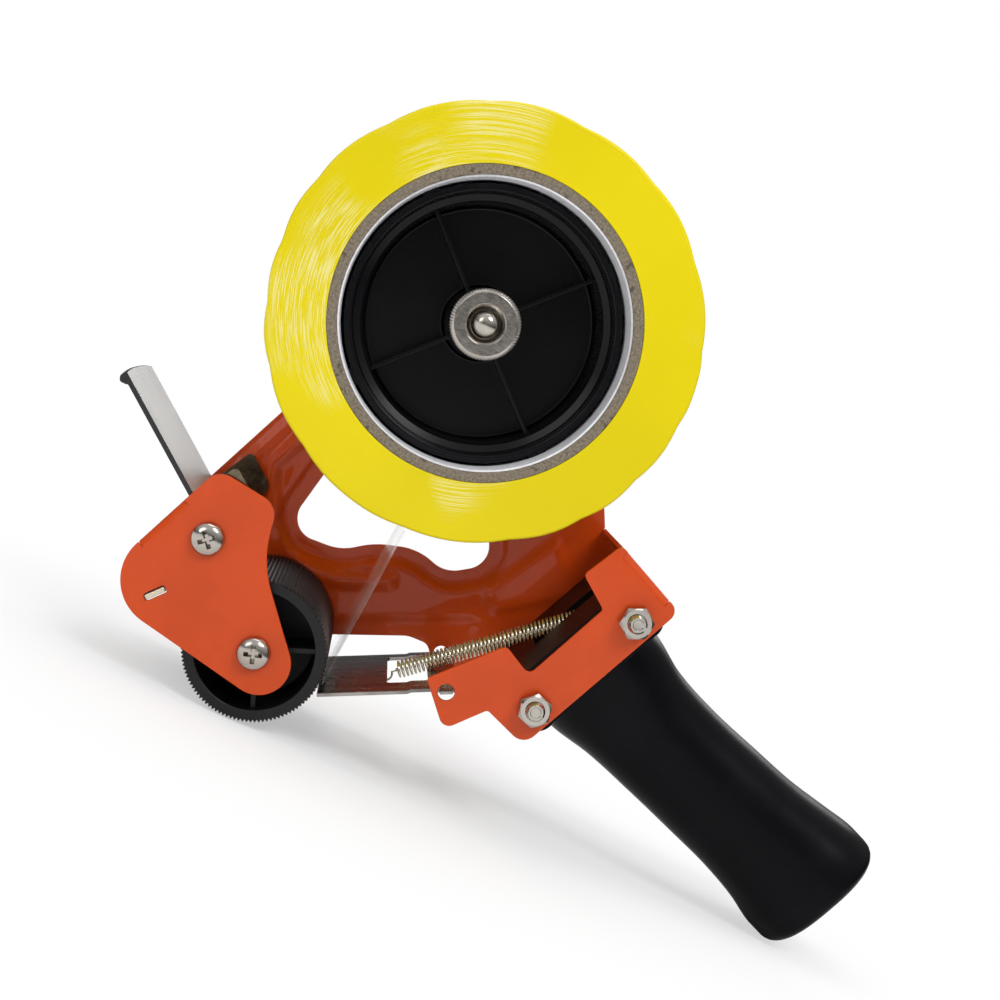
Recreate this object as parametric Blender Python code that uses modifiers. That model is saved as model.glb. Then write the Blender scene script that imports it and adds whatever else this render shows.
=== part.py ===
"""A hand-held packing tape dispenser, standing on its toothed wheel and the end of its grip.

Lengths below are millimetres. A side view point (x, z) is measured from the axis of the tape roll,
x towards the grip and z up. The near side is at -Y, the side plate at +Y.
"""

import math

import bmesh
import bpy
from mathutils import Matrix, Vector

MM = 0.001

# Overall sizes
TAPE_WIDTH = 48.0
TAPE_OD = 114.0
CORE_BORE = 76.2
CORE_WALL = 2.8
SHEET = 1.2
TAPE_ROOM = 5.0
INSIDE_WIDTH = TAPE_WIDTH + TAPE_ROOM
FIT = 0.3
JOIN = 1.0
BEND_RADIUS = 1.0

# Places in the side view, from the roll axis
WHEEL_AXIS = (-18.7, -101.7)
WIPER_AXIS = (-41.5, -79.6)
GUIDE_AXIS = (30.8, -90.5)
FRONT_BEND = ((-57.2, -87.8), 67.0)
FRONT_WEB_LENGTH = 16.0
GRIP_ROOT = (65.5, -72.5)
GRIP_ANGLE = -24.3
REAR_WEB_REACH = 28.8
REAR_WEB_SPAN = (-21.0, -4.0)
BOLT_BACK = -6.0
BOLT_SPAN = (-16.2, 18.5)
CROWN = 19.0

# Wheel
WHEEL_DIAMETER = 38.0
WHEEL_TEETH = 110
TOOTH_DEPTH = 0.8
WHEEL_WIDTH = 50.0
WHEEL_RIM = 2.6
WHEEL_BOSS = 13.0
WHEEL_WEB = 12.0
WHEEL_RIB = 1.2
WHEEL_RIB_ANGLE = 22.0
WHEEL_RIB_STEP = 3.0
WHEEL_SHAFT = 7.0

# Hub and brake
HUB_CENTRE = (0.0, 0.0)
HUB_DIAMETER = 73.6
HUB_WALL = 2.0
HUB_NEAR = -12.0
HUB_FLANGE = 1.5
HUB_WEB = 2.0
HUB_WEB_AT = 15.0
HUB_BOSS = 18.0
HUB_BOSS_NEAR = -1.0
HUB_RIB = 1.2
HUB_RIBS = 4
HUB_RIB_ANGLE = 46.0
HUB_TAB = (5.0, 0.9, 12.0)
HUB_CHAMFER = 0.8
HUB_RIB_STEP = 4.0
HUB_END_GAP = 1.2
HUB_AXLE = 6.5
JAM_NUT = (5.0, 4.0)
BRAKE_WASHER = (14.0, 1.2)
BRAKE_SPRING = (10.5, 1.2, 5)
BRAKE_SPRING_LENGTH = 10.0
BRAKE_NUT = (19.0, 7.0)
BRAKE_NUT_KNURLS = 44
KNURL_DEPTH = 0.5
NUT_CHAMFER = 0.7
NUT_COUNTERSINK = 1.4
AXLE_END = 2.4
AXLE_DOME = 1.8
AXLE_DOME_POINTS = ((0.0, 0.0), (0.5, 0.14), (0.85, 0.44), (1.0, 1.0))

# Screws, bolts and nuts
SCREW = (4.0, 8.8, 2.8)
SCREW_LENGTH = 8.0
BOLT = (5.0, 9.4, 3.2)
HEX_NUT = (8.0, 4.0)
BOLT_END = 2.0
BOLT_CHAMFER = 0.8
NUT_EDGE = 0.35
AXLE_HEAD = (15.0, 3.6)
DOME_DEPTH = 0.6
CROSS = (4.6, 1.0, 1.5)
CROSS_ANGLE = 30.0

# Wiper
WIPER_LENGTH = 48.0
WIPER_ANGLE = 142.7
WIPER_OFFSET = -1.2
WIPER_SHEET = 1.3
WIPER_WIDTH = 51.0
WIPER_BEAD = 3.0
WIPER_ROOT = 5.4
CHEEK = 1.0
CHEEK_PEAK = (-1.0, 19.8)
RIVET = (2.0, 3.8, 0.9)
RIVET_SPAN = 17.0
RIVET_REACH = 8.4
RIVET_FOOT = 0.4
CARRIER_REACH = 11.0
SPACER = 6.4

# Cutter
SLOT_CENTRE = (-47.9, -98.0)
SLOT_ANGLE = 48.6
CARRIER = (13.0, 1.4)
CARRIER_TAB = 5.5
BLADE = (11.0, 0.6)
BLADE_TEETH = 25
BLADE_TOOTH = 1.8
BLADE_SHIFT = 1.0
BLADE_PROUD = 2.6
BLADE_END_GAP = 1.5

# Tension plate and its spring
GUIDE_LENGTH = 33.6
GUIDE_ANGLE = 206.4
GUIDE_SHEET = 1.0
GUIDE_TAIL = 3.0
GUIDE_TAB = (3.4, 0.5)
GUIDE_HOLE = 4.4
GUIDE_WINDOW = ((4.5, 15.4), (-15.0, 21.5))
HOOK_HOLE = 2.2
SPRING = (5.0, 0.6)
SPRING_PITCH = 1.15
SPRING_HOOK = 4.2
SPRING_LEAD = 1.3
COIL_SIDES = 6

# Film from the roll to the wheel
FILM = 0.3
FILM_TOP_X = 3.6
FILM_NIP = (1.5, -1.0)

# Grip stations: distance from the bracket, centre, half height, half width
GRIP_STATIONS = (
    (-1.0, 1.0, 19.5, 22.0),
    (6.0, 1.2, 19.4, 19.0),
    (18.0, 1.4, 17.2, 16.0),
    (34.0, 2.4, 16.4, 15.2),
    (50.0, 4.0, 16.6, 15.6),
    (64.0, 5.4, 17.0, 16.0),
    (76.0, 6.6, 18.4, 16.6),
    (85.0, 7.0, 19.9, 17.6),
    (89.5, 7.2, 19.9, 17.8),
    (93.0, 7.4, 17.0, 15.0),
)
HEAD_BLOCK = (-14.2, 1.0, -21.5, 25.5)
HEAD_BLOCK_WIDTH = 52.0
HOOK_SLOT = ((-15.2, -1.0), (-6.5, 23.0), 8.0)

INSIDE = INSIDE_WIDTH / 2
OUTSIDE = INSIDE + SHEET
ROLL_SIDE = TAPE_WIDTH / 2


# Points and outlines


def direction(angle):
    return Vector((math.cos(math.radians(angle)), math.sin(math.radians(angle))))


def along(start, angle, forward, left=0.0):
    """The point that lies forward and to the left of start, facing angle."""
    ahead = direction(angle)
    return Vector(start) + ahead * forward + Vector((-ahead.y, ahead.x)) * left


def grip_point(forward, up):
    return along(GRIP_ROOT, GRIP_ANGLE, forward, up)


def filleted(corners, step=20.0):
    """The closed outline of (x, z, radius) corners, each rounded by an arc."""
    outline = []
    for index, (x, z, radius) in enumerate(corners):
        corner = Vector((x, z))
        before = Vector(corners[index - 1][:2]) - corner
        after = Vector(corners[(index + 1) % len(corners)][:2]) - corner
        opening = before.angle(after)
        if radius <= 0:
            outline.append(corner)
            continue
        reach = radius / math.tan(opening / 2)
        for side, neighbour in ((before, index - 1), (after, (index + 1) % len(corners))):
            reach = min(reach, side.length * (0.49 if corners[neighbour][2] > 0 else 0.98))
        radius = reach * math.tan(opening / 2)
        start = corner + before.normalized() * reach
        end = corner + after.normalized() * reach
        middle = corner + (before.normalized() + after.normalized()).normalized() * (
            radius / math.sin(opening / 2)
        )
        count = max(2, math.ceil(math.degrees(math.pi - opening) / step))
        turn = (start - middle).angle_signed(end - middle)
        for number in range(count + 1):
            arm = start - middle
            arm.rotate(Matrix.Rotation(-turn * number / count, 2))
            outline.append(middle + arm)
    return outline


# Objects


def collection(name):
    made = bpy.data.collections.new(name)
    bpy.context.scene.collection.children.link(made)
    return made


def material(name, color, roughness, metallic=0.0):
    made = bpy.data.materials.new(name)
    made.use_nodes = True
    shader = made.node_tree.nodes["Principled BSDF"]
    shader.inputs["Base Color"].default_value = (*color, 1.0)
    shader.inputs["Roughness"].default_value = roughness
    shader.inputs["Metallic"].default_value = metallic
    return made


def add_object(name, mesh, finish, at=(0.0, 0.0), helper=False):
    """An object whose origin is at the side view point, in the middle of the width."""
    made = bpy.data.objects.new(name, mesh)
    made.location = (at[0] * MM, 0.0, at[1] * MM)
    if helper:
        CUTTERS.objects.link(made)
        made.hide_render = True
        made.display_type = "WIRE"
        return made
    PARTS.objects.link(made)
    made.parent = STAND
    mesh.materials.append(finish)
    mesh.shade_smooth()
    mesh.set_sharp_from_angle(angle=math.radians(35))
    return made


def mesh_of(bm, name):
    bmesh.ops.recalc_face_normals(bm, faces=bm.faces)
    mesh = bpy.data.meshes.new(name)
    bm.to_mesh(mesh)
    bm.free()
    return mesh


def add_prism(bm, outline, near, far, origin=(0.0, 0.0)):
    """The outline, pulled across the width from near to far."""
    corners = [
        bm.verts.new(((x - origin[0]) * MM, near * MM, (z - origin[1]) * MM)) for x, z in outline
    ]
    edges = [bm.edges.new((a, b)) for a, b in zip(corners, corners[1:] + corners[:1])]
    face = bmesh.ops.contextual_create(bm, geom=edges)["faces"][0]
    pulled = bmesh.ops.extrude_face_region(bm, geom=[face])["geom"]
    moved = [item for item in pulled if isinstance(item, bmesh.types.BMVert)]
    bmesh.ops.translate(bm, verts=moved, vec=(0.0, (far - near) * MM, 0.0))


def add_cylinder(bm, centre, diameter, near, far, segments=24, origin=(0.0, 0.0), phase=0.0):
    """A cylinder across the width."""
    middle = ((centre[0] - origin[0]) * MM, (near + far) / 2 * MM, (centre[1] - origin[1]) * MM)
    matrix = (
        Matrix.Translation(middle)
        @ Matrix.Rotation(math.radians(phase), 4, "Y")
        @ Matrix.Rotation(math.radians(90), 4, "X")
    )
    bmesh.ops.create_cone(
        bm,
        cap_ends=True,
        segments=segments,
        radius1=diameter / 2 * MM,
        radius2=diameter / 2 * MM,
        depth=(far - near) * MM,
        matrix=matrix,
    )


def add_box(bm, centre, angle, length, height, near, far, origin=(0.0, 0.0)):
    """A box across the width whose length lies at the angle in the side view."""
    middle = ((centre[0] - origin[0]) * MM, (near + far) / 2 * MM, (centre[1] - origin[1]) * MM)
    matrix = (
        Matrix.Translation(middle)
        @ Matrix.Rotation(-math.radians(angle), 4, "Y")
        @ Matrix.Diagonal((length * MM, (far - near) * MM, height * MM, 1.0))
    )
    return bmesh.ops.create_cube(bm, size=1.0, matrix=matrix)["verts"]


def cross_outline(length, thickness, angle):
    """The outline of two bars that cross at the origin."""
    long, short = length / 2, thickness / 2
    quarter = [(long, -short), (long, short), (short, short)]
    return [
        along((0.0, 0.0), angle + 90 * turn, forward, left)
        for turn in range(4)
        for forward, left in quarter
    ]


def turned(name, profile, finish, at=(0.0, 0.0), steps=32, ring=False, helper=False):
    """A shape turned about an axis across the width: (radius, y) points, from near to far."""
    bm = bmesh.new()
    points = [bm.verts.new((radius * MM, 0.0, -y * MM)) for radius, y in profile]
    for a, b in zip(points, points[1:] + points[: 1 if ring else 0]):
        bm.edges.new((a, b))
    mesh = bpy.data.meshes.new(name)
    bm.to_mesh(mesh)
    bm.free()
    made = add_object(name, mesh, finish, at, helper)
    made.rotation_euler = (math.radians(90), 0.0, 0.0)
    add_turn(made, steps)
    return made


def add_turn(target, steps):
    screw = target.modifiers.new("turn", "SCREW")
    screw.steps = steps
    screw.render_steps = steps
    screw.use_merge_vertices = True
    screw.merge_threshold = 0.00001


def boolean(target, other, operation="DIFFERENCE"):
    step = target.modifiers.new(operation.lower(), "BOOLEAN")
    step.operation = operation
    step.solver = "EXACT"
    step.object = other


def cutter(name, bm, at=(0.0, 0.0)):
    return add_object(name, mesh_of(bm, name), None, at, helper=True)


def cut_holes(target, holes, near, far, at=(0.0, 0.0)):
    """Cuts round holes, given as (centre, diameter), across the width."""
    bm = bmesh.new()
    for centre, diameter in holes:
        add_cylinder(bm, centre, diameter, near, far, origin=at)
    boolean(target, cutter(target.name + "_holes", bm, at))


def wire(name, points, diameter, finish, at=(0.0, 0.0)):
    """A wire through points given as (x, y, z) from its origin."""
    curve = bpy.data.curves.new(name, "CURVE")
    curve.dimensions = "3D"
    curve.bevel_depth = diameter / 2 * MM
    curve.bevel_resolution = 0
    curve.use_fill_caps = True
    spline = curve.splines.new("POLY")
    spline.points.add(len(points) - 1)
    for point, place in zip(spline.points, points):
        point.co = (place[0] * MM, place[1] * MM, place[2] * MM, 1.0)
    made = bpy.data.objects.new(name, curve)
    made.location = (at[0] * MM, 0.0, at[1] * MM)
    PARTS.objects.link(made)
    made.parent = STAND
    curve.materials.append(finish)
    return made


# Frame


def front_line(forward, left=0.0):
    return along(FRONT_BEND[0], FRONT_BEND[1], forward, left)


def ear_corners():
    """The front of both sides: a round front, a lobe round the wheel axis and a hollow back."""
    return [
        (*front_line(-16.5), 12.9),
        *front_step(),
        (*front_line(27.8), 5.2),
        (-29.1, -64.4, 5.2),
        (-26.0, -79.7, 45.0),
        (5.3, -116.3, 9.3),
    ]


def bracket_corners():
    """The near bracket that holds the grip bolts and the pin of the tension plate."""
    return [
        (24.6, -89.3, 1.0),
        (39.9, -73.0, 1.8),
        (48.4, -77.4, 1.8),
        (58.7, -53.9, 1.0),
        (50.2, -47.7, 1.5),
        (*rear_line(-23.4), 1.6),
        *rear_step(),
        (*rear_line(-0.3), 3.0),
        (*grip_point(-0.3, -24.8), 4.0),
        (42.6, -90.4, 1.0),
        (34.2, -99.8, 2.6),
    ]


def side_corners():
    """The side plate: the same front and bracket, joined, and two arms up to the hub axle."""
    return [
        (*front_line(-16.5), 12.9),
        *front_step(),
        (*front_line(88.0), 60.0),
        (-14.5, CROWN, 14.0),
        (17.0, CROWN, 17.0),
        (24.5, -19.0, 26.0),
        (54.0, -29.5, 6.0),
        *rear_step(),
        (*rear_line(-0.3), 3.0),
        (*grip_point(-0.3, -24.8), 4.0),
        (42.6, -90.4, 1.0),
        (34.2, -99.8, 2.6),
        (26.0, -89.6, 3.0),
        (20.0, -89.8, 8.0),
        (-8.0, -102.0, 4.0),
        (-9.0, -113.6, 8.5),
    ]


def window_corners():
    """The opening between the two arms of the side plate."""
    return [
        (-25.0, -76.5, 9.5),
        (-19.5, -48.0, 40.0),
        (-4.0, -25.0, 9.0),
        (10.0, -27.0, 9.0),
        (33.5, -61.0, 14.0),
        (22.0, -68.8, 9.0),
        (12.0, -65.8, 25.0),
        (0.0, -69.5, 25.0),
        (-8.0, -75.4, 14.0),
    ]


def bend_depth():
    """From the outer face of a web to the line where its bend starts, on the middle of the sheet."""
    return SHEET + BEND_RADIUS


def web_step(line, start, end):
    """The corners of an edge that is set back from start to end, where a bend begins."""
    depth = -bend_depth()
    return [
        (*line(start), 0.0),
        (*line(start, depth), 0.0),
        (*line(end, depth), 0.0),
        (*line(end), 0.0),
    ]


def front_step():
    return web_step(front_line, 0.0, FRONT_WEB_LENGTH)


def rear_line(forward, left=0.0):
    return grip_point(forward, REAR_WEB_REACH + left)


def rear_step():
    return web_step(rear_line, *REAR_WEB_SPAN)


def sheet_face(bm, outline, y):
    corners = [bm.verts.new((x * MM, y * MM, z * MM)) for x, z in outline]
    edges = [bm.edges.new((a, b)) for a, b in zip(corners, corners[1:] + corners[:1])]
    bmesh.ops.contextual_create(bm, geom=edges)


def bent_strip(bm, start, end):
    """The web and its two bends, on the middle of the sheet, from the near side to the far one."""
    radius = BEND_RADIUS + SHEET / 2
    side = OUTSIDE - SHEET / 2
    ends = [bm.verts.new((place.x * MM, -side * MM, place.y * MM)) for place in (start, end)]
    strip = [*ends, bm.edges.new(ends)]
    ahead = (end - start).normalized()
    axis = Vector((ahead.x, 0.0, ahead.y))
    for y in (radius - side, side - radius):
        centre = (start.x * MM, y * MM, start.y * MM)
        quarter = {"cent": centre, "axis": axis, "angle": math.radians(-90), "steps": 4}
        strip = bmesh.ops.spin(bm, geom=strip, **quarter)["geom_last"]
        if y < 0:
            edges = [item for item in strip if isinstance(item, bmesh.types.BMEdge)]
            strip = bmesh.ops.extrude_edge_only(bm, edges=edges)["geom"]
            strip = [item for item in strip if not isinstance(item, bmesh.types.BMFace)]
            moved = [item for item in strip if isinstance(item, bmesh.types.BMVert)]
            bmesh.ops.translate(bm, verts=moved, vec=(0.0, -2 * y * MM, 0.0))


def make_frame():
    bm = bmesh.new()
    side = OUTSIDE - SHEET / 2
    sheet_face(bm, filleted(ear_corners()), -side)
    sheet_face(bm, filleted(bracket_corners()), -side)
    sheet_face(bm, filleted(side_corners()), side)
    depth = -bend_depth()
    bent_strip(bm, front_line(0.0, depth), front_line(FRONT_WEB_LENGTH, depth))
    bent_strip(bm, *(rear_line(end, depth) for end in REAR_WEB_SPAN))
    bmesh.ops.remove_doubles(bm, verts=bm.verts, dist=0.00001)
    made = add_object("frame", mesh_of(bm, "frame"), ORANGE)
    solid = made.modifiers.new("sheet", "SOLIDIFY")
    solid.thickness = SHEET * MM
    solid.offset = 0.0
    solid.use_even_offset = True
    window = bmesh.new()
    add_prism(window, filleted(window_corners()), INSIDE - 1, OUTSIDE + 1)
    boolean(made, cutter("frame_window", window))
    holes = bmesh.new()
    reach = OUTSIDE + 1
    for centre in (WHEEL_AXIS, WIPER_AXIS):
        add_cylinder(holes, centre, SCREW[0] + 2 * FIT, -reach, reach)
    for up in BOLT_SPAN:
        add_cylinder(holes, grip_point(BOLT_BACK, up), BOLT[0] + 2 * FIT, -reach, reach)
    add_cylinder(holes, GUIDE_AXIS, GUIDE_HOLE, -reach, reach)
    add_cylinder(holes, HUB_CENTRE, HUB_AXLE + 2 * FIT, INSIDE - 1, reach)
    add_box(
        holes, SLOT_CENTRE, SLOT_ANGLE, CARRIER_TAB + 2 * FIT, CARRIER[1] + 2 * FIT, -reach, reach
    )
    boolean(made, cutter("frame_holes", holes))


# Grip


def superellipse(half_height, half_width, power=2.6, count=28):
    for index in range(count):
        angle = 2 * math.pi * index / count
        c, s = math.cos(angle), math.sin(angle)
        yield (
            math.copysign(abs(c) ** (2 / power), c) * half_height,
            math.copysign(abs(s) ** (2 / power), s) * half_width,
        )


def make_grip():
    bm = bmesh.new()
    loops = []
    for forward, centre, half_height, half_width in GRIP_STATIONS:
        ring = []
        for up, across in superellipse(half_height, half_width):
            x, z = grip_point(forward, centre + up)
            ring.append(bm.verts.new((x * MM, across * MM, z * MM)))
        loops.append([bm.edges.new((a, b)) for a, b in zip(ring, ring[1:] + ring[:1])])
    for one, other in zip(loops, loops[1:]):
        bmesh.ops.bridge_loops(bm, edges=one + other)
    for loop in (loops[0], loops[-1]):
        bmesh.ops.contextual_create(bm, geom=loop)
    made = add_object("handle_grip", mesh_of(bm, "handle_grip"), BLACK_PLASTIC)
    back, front, low, high = HEAD_BLOCK
    block = [
        (*grip_point(back, high), 5.0),
        (*grip_point(front, high), 5.0),
        (*grip_point(front, low), 5.0),
        (*grip_point(back, low), 5.0),
    ]
    head = bmesh.new()
    add_prism(head, filleted(block), -HEAD_BLOCK_WIDTH / 2, HEAD_BLOCK_WIDTH / 2)
    boolean(made, cutter("grip_head", head), "UNION")
    reach = HEAD_BLOCK_WIDTH
    bores = [(grip_point(BOLT_BACK, up), BOLT[0] + 2 * FIT) for up in BOLT_SPAN]
    cut_holes(made, bores, -reach, reach)
    slot = bmesh.new()
    (deep, shallow), (low, high), width = HOOK_SLOT
    middle = grip_point((deep + shallow) / 2, (low + high) / 2)
    add_box(slot, middle, GRIP_ANGLE, shallow - deep, high - low, -width / 2, width / 2)
    boolean(made, cutter("grip_hook_slot", slot))


def domed(radius, height, near, rise=0.35, count=3):
    """A head's outer profile from its rounded top at near to its flat underside."""
    flat = radius * (1 - rise)
    points = [(0.0, near), (flat, near)]
    for index in range(1, count + 1):
        angle = math.radians(90) * index / count
        drop = height * DOME_DEPTH * (1 - math.cos(angle))
        points.append((flat + radius * rise * math.sin(angle), near + drop))
    points.append((radius, near + height))
    return points


def mirrored(profile):
    """The same profile facing the other way, still from near to far."""
    return [(radius, -y) for radius, y in reversed(profile)]


def make_handle_bolts():
    for name, up in zip(("lower", "upper"), BOLT_SPAN):
        place = grip_point(BOLT_BACK, up)
        end = -OUTSIDE - FIT - HEX_NUT[1] - BOLT_END
        profile = [
            (0.0, end),
            (BOLT[0] / 2 - BOLT_CHAMFER, end),
            (BOLT[0] / 2, end + BOLT_CHAMFER),
            (BOLT[0] / 2, OUTSIDE + FIT),
        ]
        profile += mirrored(domed(BOLT[1] / 2, BOLT[2], -OUTSIDE - FIT - BOLT[2]))
        turned(f"handle_bolt_{name}", profile, STEEL, place, steps=16)
        bm = bmesh.new()
        across = HEX_NUT[0] / math.cos(math.radians(30))
        far = -OUTSIDE - FIT
        add_cylinder(bm, place, across, far - HEX_NUT[1], far, 6, place, phase=GRIP_ANGLE)
        nut = add_object(f"handle_nut_{name}", mesh_of(bm, "nut"), STEEL, place)
        edge = nut.modifiers.new("edge", "BEVEL")
        edge.width = NUT_EDGE * MM
        edge.segments = 1
        edge.limit_method = "ANGLE"
        edge.angle_limit = math.radians(75)
        cut_holes(nut, [(place, BOLT[0] + 2 * FIT)], far - 10, far + 10, place)


# Hub, roll and brake


def make_hub():
    rim = HUB_DIAMETER / 2
    inner = rim - HUB_WALL
    boss = HUB_BOSS / 2
    bore = HUB_AXLE / 2 + FIT
    flange_near = ROLL_SIDE + FIT
    flange = CORE_BORE / 2 + CORE_WALL + 2 * FIT
    web_far = HUB_WEB_AT + HUB_WEB
    boss_far = INSIDE - JAM_NUT[1] - HUB_END_GAP
    profile = [
        (rim, HUB_NEAR + HUB_CHAMFER),
        (rim, flange_near),
        (flange, flange_near),
        (flange, flange_near + HUB_FLANGE),
        (inner, flange_near + HUB_FLANGE),
        (inner, web_far),
        (boss, web_far),
        (boss, boss_far),
        (bore, boss_far),
        (bore, HUB_BOSS_NEAR),
        (boss, HUB_BOSS_NEAR),
        (boss, HUB_WEB_AT),
        (inner, HUB_WEB_AT),
        (inner, HUB_NEAR),
        (rim - HUB_CHAMFER, HUB_NEAR),
    ]
    made = turned("tape_hub", profile, BLACK_PLASTIC, steps=48, ring=True)
    ribs = bmesh.new()
    start, end = boss - JOIN, inner + JOIN
    rib_near, rib_far = HUB_BOSS_NEAR + HUB_RIB_STEP, HUB_WEB_AT + JOIN
    tab_width, tab_rise, tab_long = HUB_TAB
    tab_near = HUB_NEAR + JOIN
    for index in range(HUB_RIBS):
        angle = HUB_RIB_ANGLE + 360 * index / HUB_RIBS
        middle = direction(angle) * (start + end) / 2
        add_box(ribs, middle, angle, end - start, HUB_RIB, rib_near, rib_far)
        middle = direction(angle) * (rim + (tab_rise - JOIN) / 2)
        add_box(ribs, middle, angle, tab_rise + JOIN, tab_width, tab_near, tab_near + tab_long)
    boolean(made, cutter("hub_ribs", ribs), "UNION")


def ring_profile(inner, outer, near, far):
    return [(outer, near), (outer, far), (inner, far), (inner, near)]


def make_roll():
    core_out = CORE_BORE / 2 + CORE_WALL
    core = ring_profile(CORE_BORE / 2, core_out, -ROLL_SIDE, ROLL_SIDE)
    turned("tape_core", core, CARD, steps=56, ring=True)
    tape = ring_profile(core_out + FIT, TAPE_OD / 2, -ROLL_SIDE, ROLL_SIDE)
    turned("tape_winding", tape, TAPE, steps=72, ring=True)


def brake_places():
    """The near faces of the inner washer, the spring, the outer washer and the nut."""
    inner_washer = HUB_BOSS_NEAR - FIT - BRAKE_WASHER[1]
    spring = inner_washer - FIT - BRAKE_SPRING_LENGTH
    outer_washer = spring - FIT - BRAKE_WASHER[1]
    nut = outer_washer - FIT - BRAKE_NUT[1]
    return inner_washer, spring, outer_washer, nut


def make_axle_and_brake():
    inner_washer, spring, outer_washer, nut = brake_places()
    radius = HUB_AXLE / 2
    end = nut - AXLE_END
    profile = [(radius * reach, end + AXLE_DOME * drop) for reach, drop in AXLE_DOME_POINTS]
    profile += [(radius, OUTSIDE + FIT)]
    profile += mirrored(domed(AXLE_HEAD[0] / 2, AXLE_HEAD[1], -OUTSIDE - FIT - AXLE_HEAD[1]))
    turned("hub_axle", profile, STEEL, steps=24)
    bm = bmesh.new()
    far = INSIDE - FIT
    across = 2 * JAM_NUT[0] / math.cos(math.radians(30))
    add_cylinder(bm, HUB_CENTRE, across, far - JAM_NUT[1] + FIT, far, 6)
    jam = add_object("hub_axle_nut", mesh_of(bm, "hub_axle_nut"), STEEL)
    cut_holes(jam, [(HUB_CENTRE, HUB_AXLE + 2 * FIT)], 0, INSIDE + 5)
    bore = radius + FIT
    for name, near in (("hub_washer", inner_washer), ("brake_washer", outer_washer)):
        washer = ring_profile(bore, BRAKE_WASHER[0] / 2, near, near + BRAKE_WASHER[1])
        turned(name, washer, STEEL, steps=24, ring=True)
    make_brake_spring(spring)
    make_knurled_nut(nut)


def make_brake_spring(near):
    diameter, thick, turns = BRAKE_SPRING
    coil = (diameter - thick) / 2
    lift = BRAKE_SPRING_LENGTH - thick
    count = turns * 12
    points = []
    for index in range(count + 1):
        angle = 2 * math.pi * index * turns / count
        y = near + thick / 2 + lift * index / count
        points.append((coil * math.cos(angle), y, coil * math.sin(angle)))
    wire("brake_spring", points, thick, STEEL)


def knurled(diameter, teeth, depth, origin=(0.0, 0.0)):
    for index in range(2 * teeth):
        radius = diameter / 2 - (depth if index % 2 else 0.0)
        yield Vector(origin) + direction(180 * index / teeth) * radius


def make_knurled_nut(near):
    """A knurled band round a plain body whose bore opens out at the near face."""
    diameter, width = BRAKE_NUT
    far = near + width
    bm = bmesh.new()
    outline = knurled(diameter, BRAKE_NUT_KNURLS, KNURL_DEPTH)
    add_prism(bm, list(outline), near + NUT_CHAMFER, far - NUT_CHAMFER)
    made = add_object("brake_nut", mesh_of(bm, "brake_nut"), STEEL)
    cut_holes(made, [(HUB_CENTRE, HUB_AXLE + 2 * NUT_COUNTERSINK)], near - 1, far + 1)
    face = diameter / 2 - KNURL_DEPTH - FIT
    bore = HUB_AXLE / 2 + FIT
    mouth = bore + NUT_COUNTERSINK
    body = [
        (face - NUT_CHAMFER, near),
        (face, near + NUT_CHAMFER),
        (face, far),
        (bore, far),
        (bore, near + NUT_COUNTERSINK),
        (mouth, near),
    ]
    boolean(made, turned("brake_nut_body", body, None, ring=True, helper=True), "UNION")


def make_film():
    """The stretch of tape from the underside of the roll to the wheel."""
    top = (FILM_TOP_X, -TAPE_OD / 2 - 2 * FIT)
    nip = (WHEEL_AXIS[0] + WHEEL_DIAMETER / 2 + FIT + FILM, WHEEL_AXIS[1] + FILM_NIP[0])
    low = (nip[0], WHEEL_AXIS[1] + FILM_NIP[1])
    line = [top, nip, low]
    outline = line + [(x + FILM, z) for x, z in reversed(line)]
    bm = bmesh.new()
    add_prism(bm, outline, -ROLL_SIDE, ROLL_SIDE)
    add_object("tape_end", mesh_of(bm, "tape_end"), TAPE)


# Wheel


def make_wheel():
    bm = bmesh.new()
    half = WHEEL_WIDTH / 2
    outline = list(knurled(WHEEL_DIAMETER, WHEEL_TEETH, TOOTH_DEPTH))
    add_prism(bm, outline, -half, half)
    made = add_object("toothed_wheel", mesh_of(bm, "toothed_wheel"), BLACK_PLASTIC, WHEEL_AXIS)
    rim = WHEEL_DIAMETER / 2 - TOOTH_DEPTH - WHEEL_RIM
    for side in (-1, 1):
        ends = sorted((side * (half + 1), side * WHEEL_WEB / 2))
        hollow = ring_profile(WHEEL_BOSS / 2, rim, *ends)
        name = "wheel_hollow_near" if side < 0 else "wheel_hollow_far"
        boolean(made, turned(name, hollow, None, WHEEL_AXIS, 32, ring=True, helper=True))
    ribs = bmesh.new()
    cross = cross_outline(2 * rim + JOIN, WHEEL_RIB, WHEEL_RIB_ANGLE)
    add_prism(ribs, cross, WHEEL_RIB_STEP - half, half - WHEEL_RIB_STEP)
    boolean(made, cutter("wheel_ribs", ribs, WHEEL_AXIS), "UNION")
    cut_holes(made, [(WHEEL_AXIS, WHEEL_SHAFT + 2 * FIT)], -half - 1, half + 1, WHEEL_AXIS)
    make_spacer("wheel_axle", WHEEL_AXIS, WHEEL_SHAFT)
    make_screws("wheel_screw", WHEEL_AXIS)


def make_spacer(name, place, diameter):
    half = INSIDE - FIT
    tube = ring_profile(SCREW[0] / 2 + FIT, diameter / 2, -half, half)
    turned(name, tube, STEEL, place, steps=20, ring=True)


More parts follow.
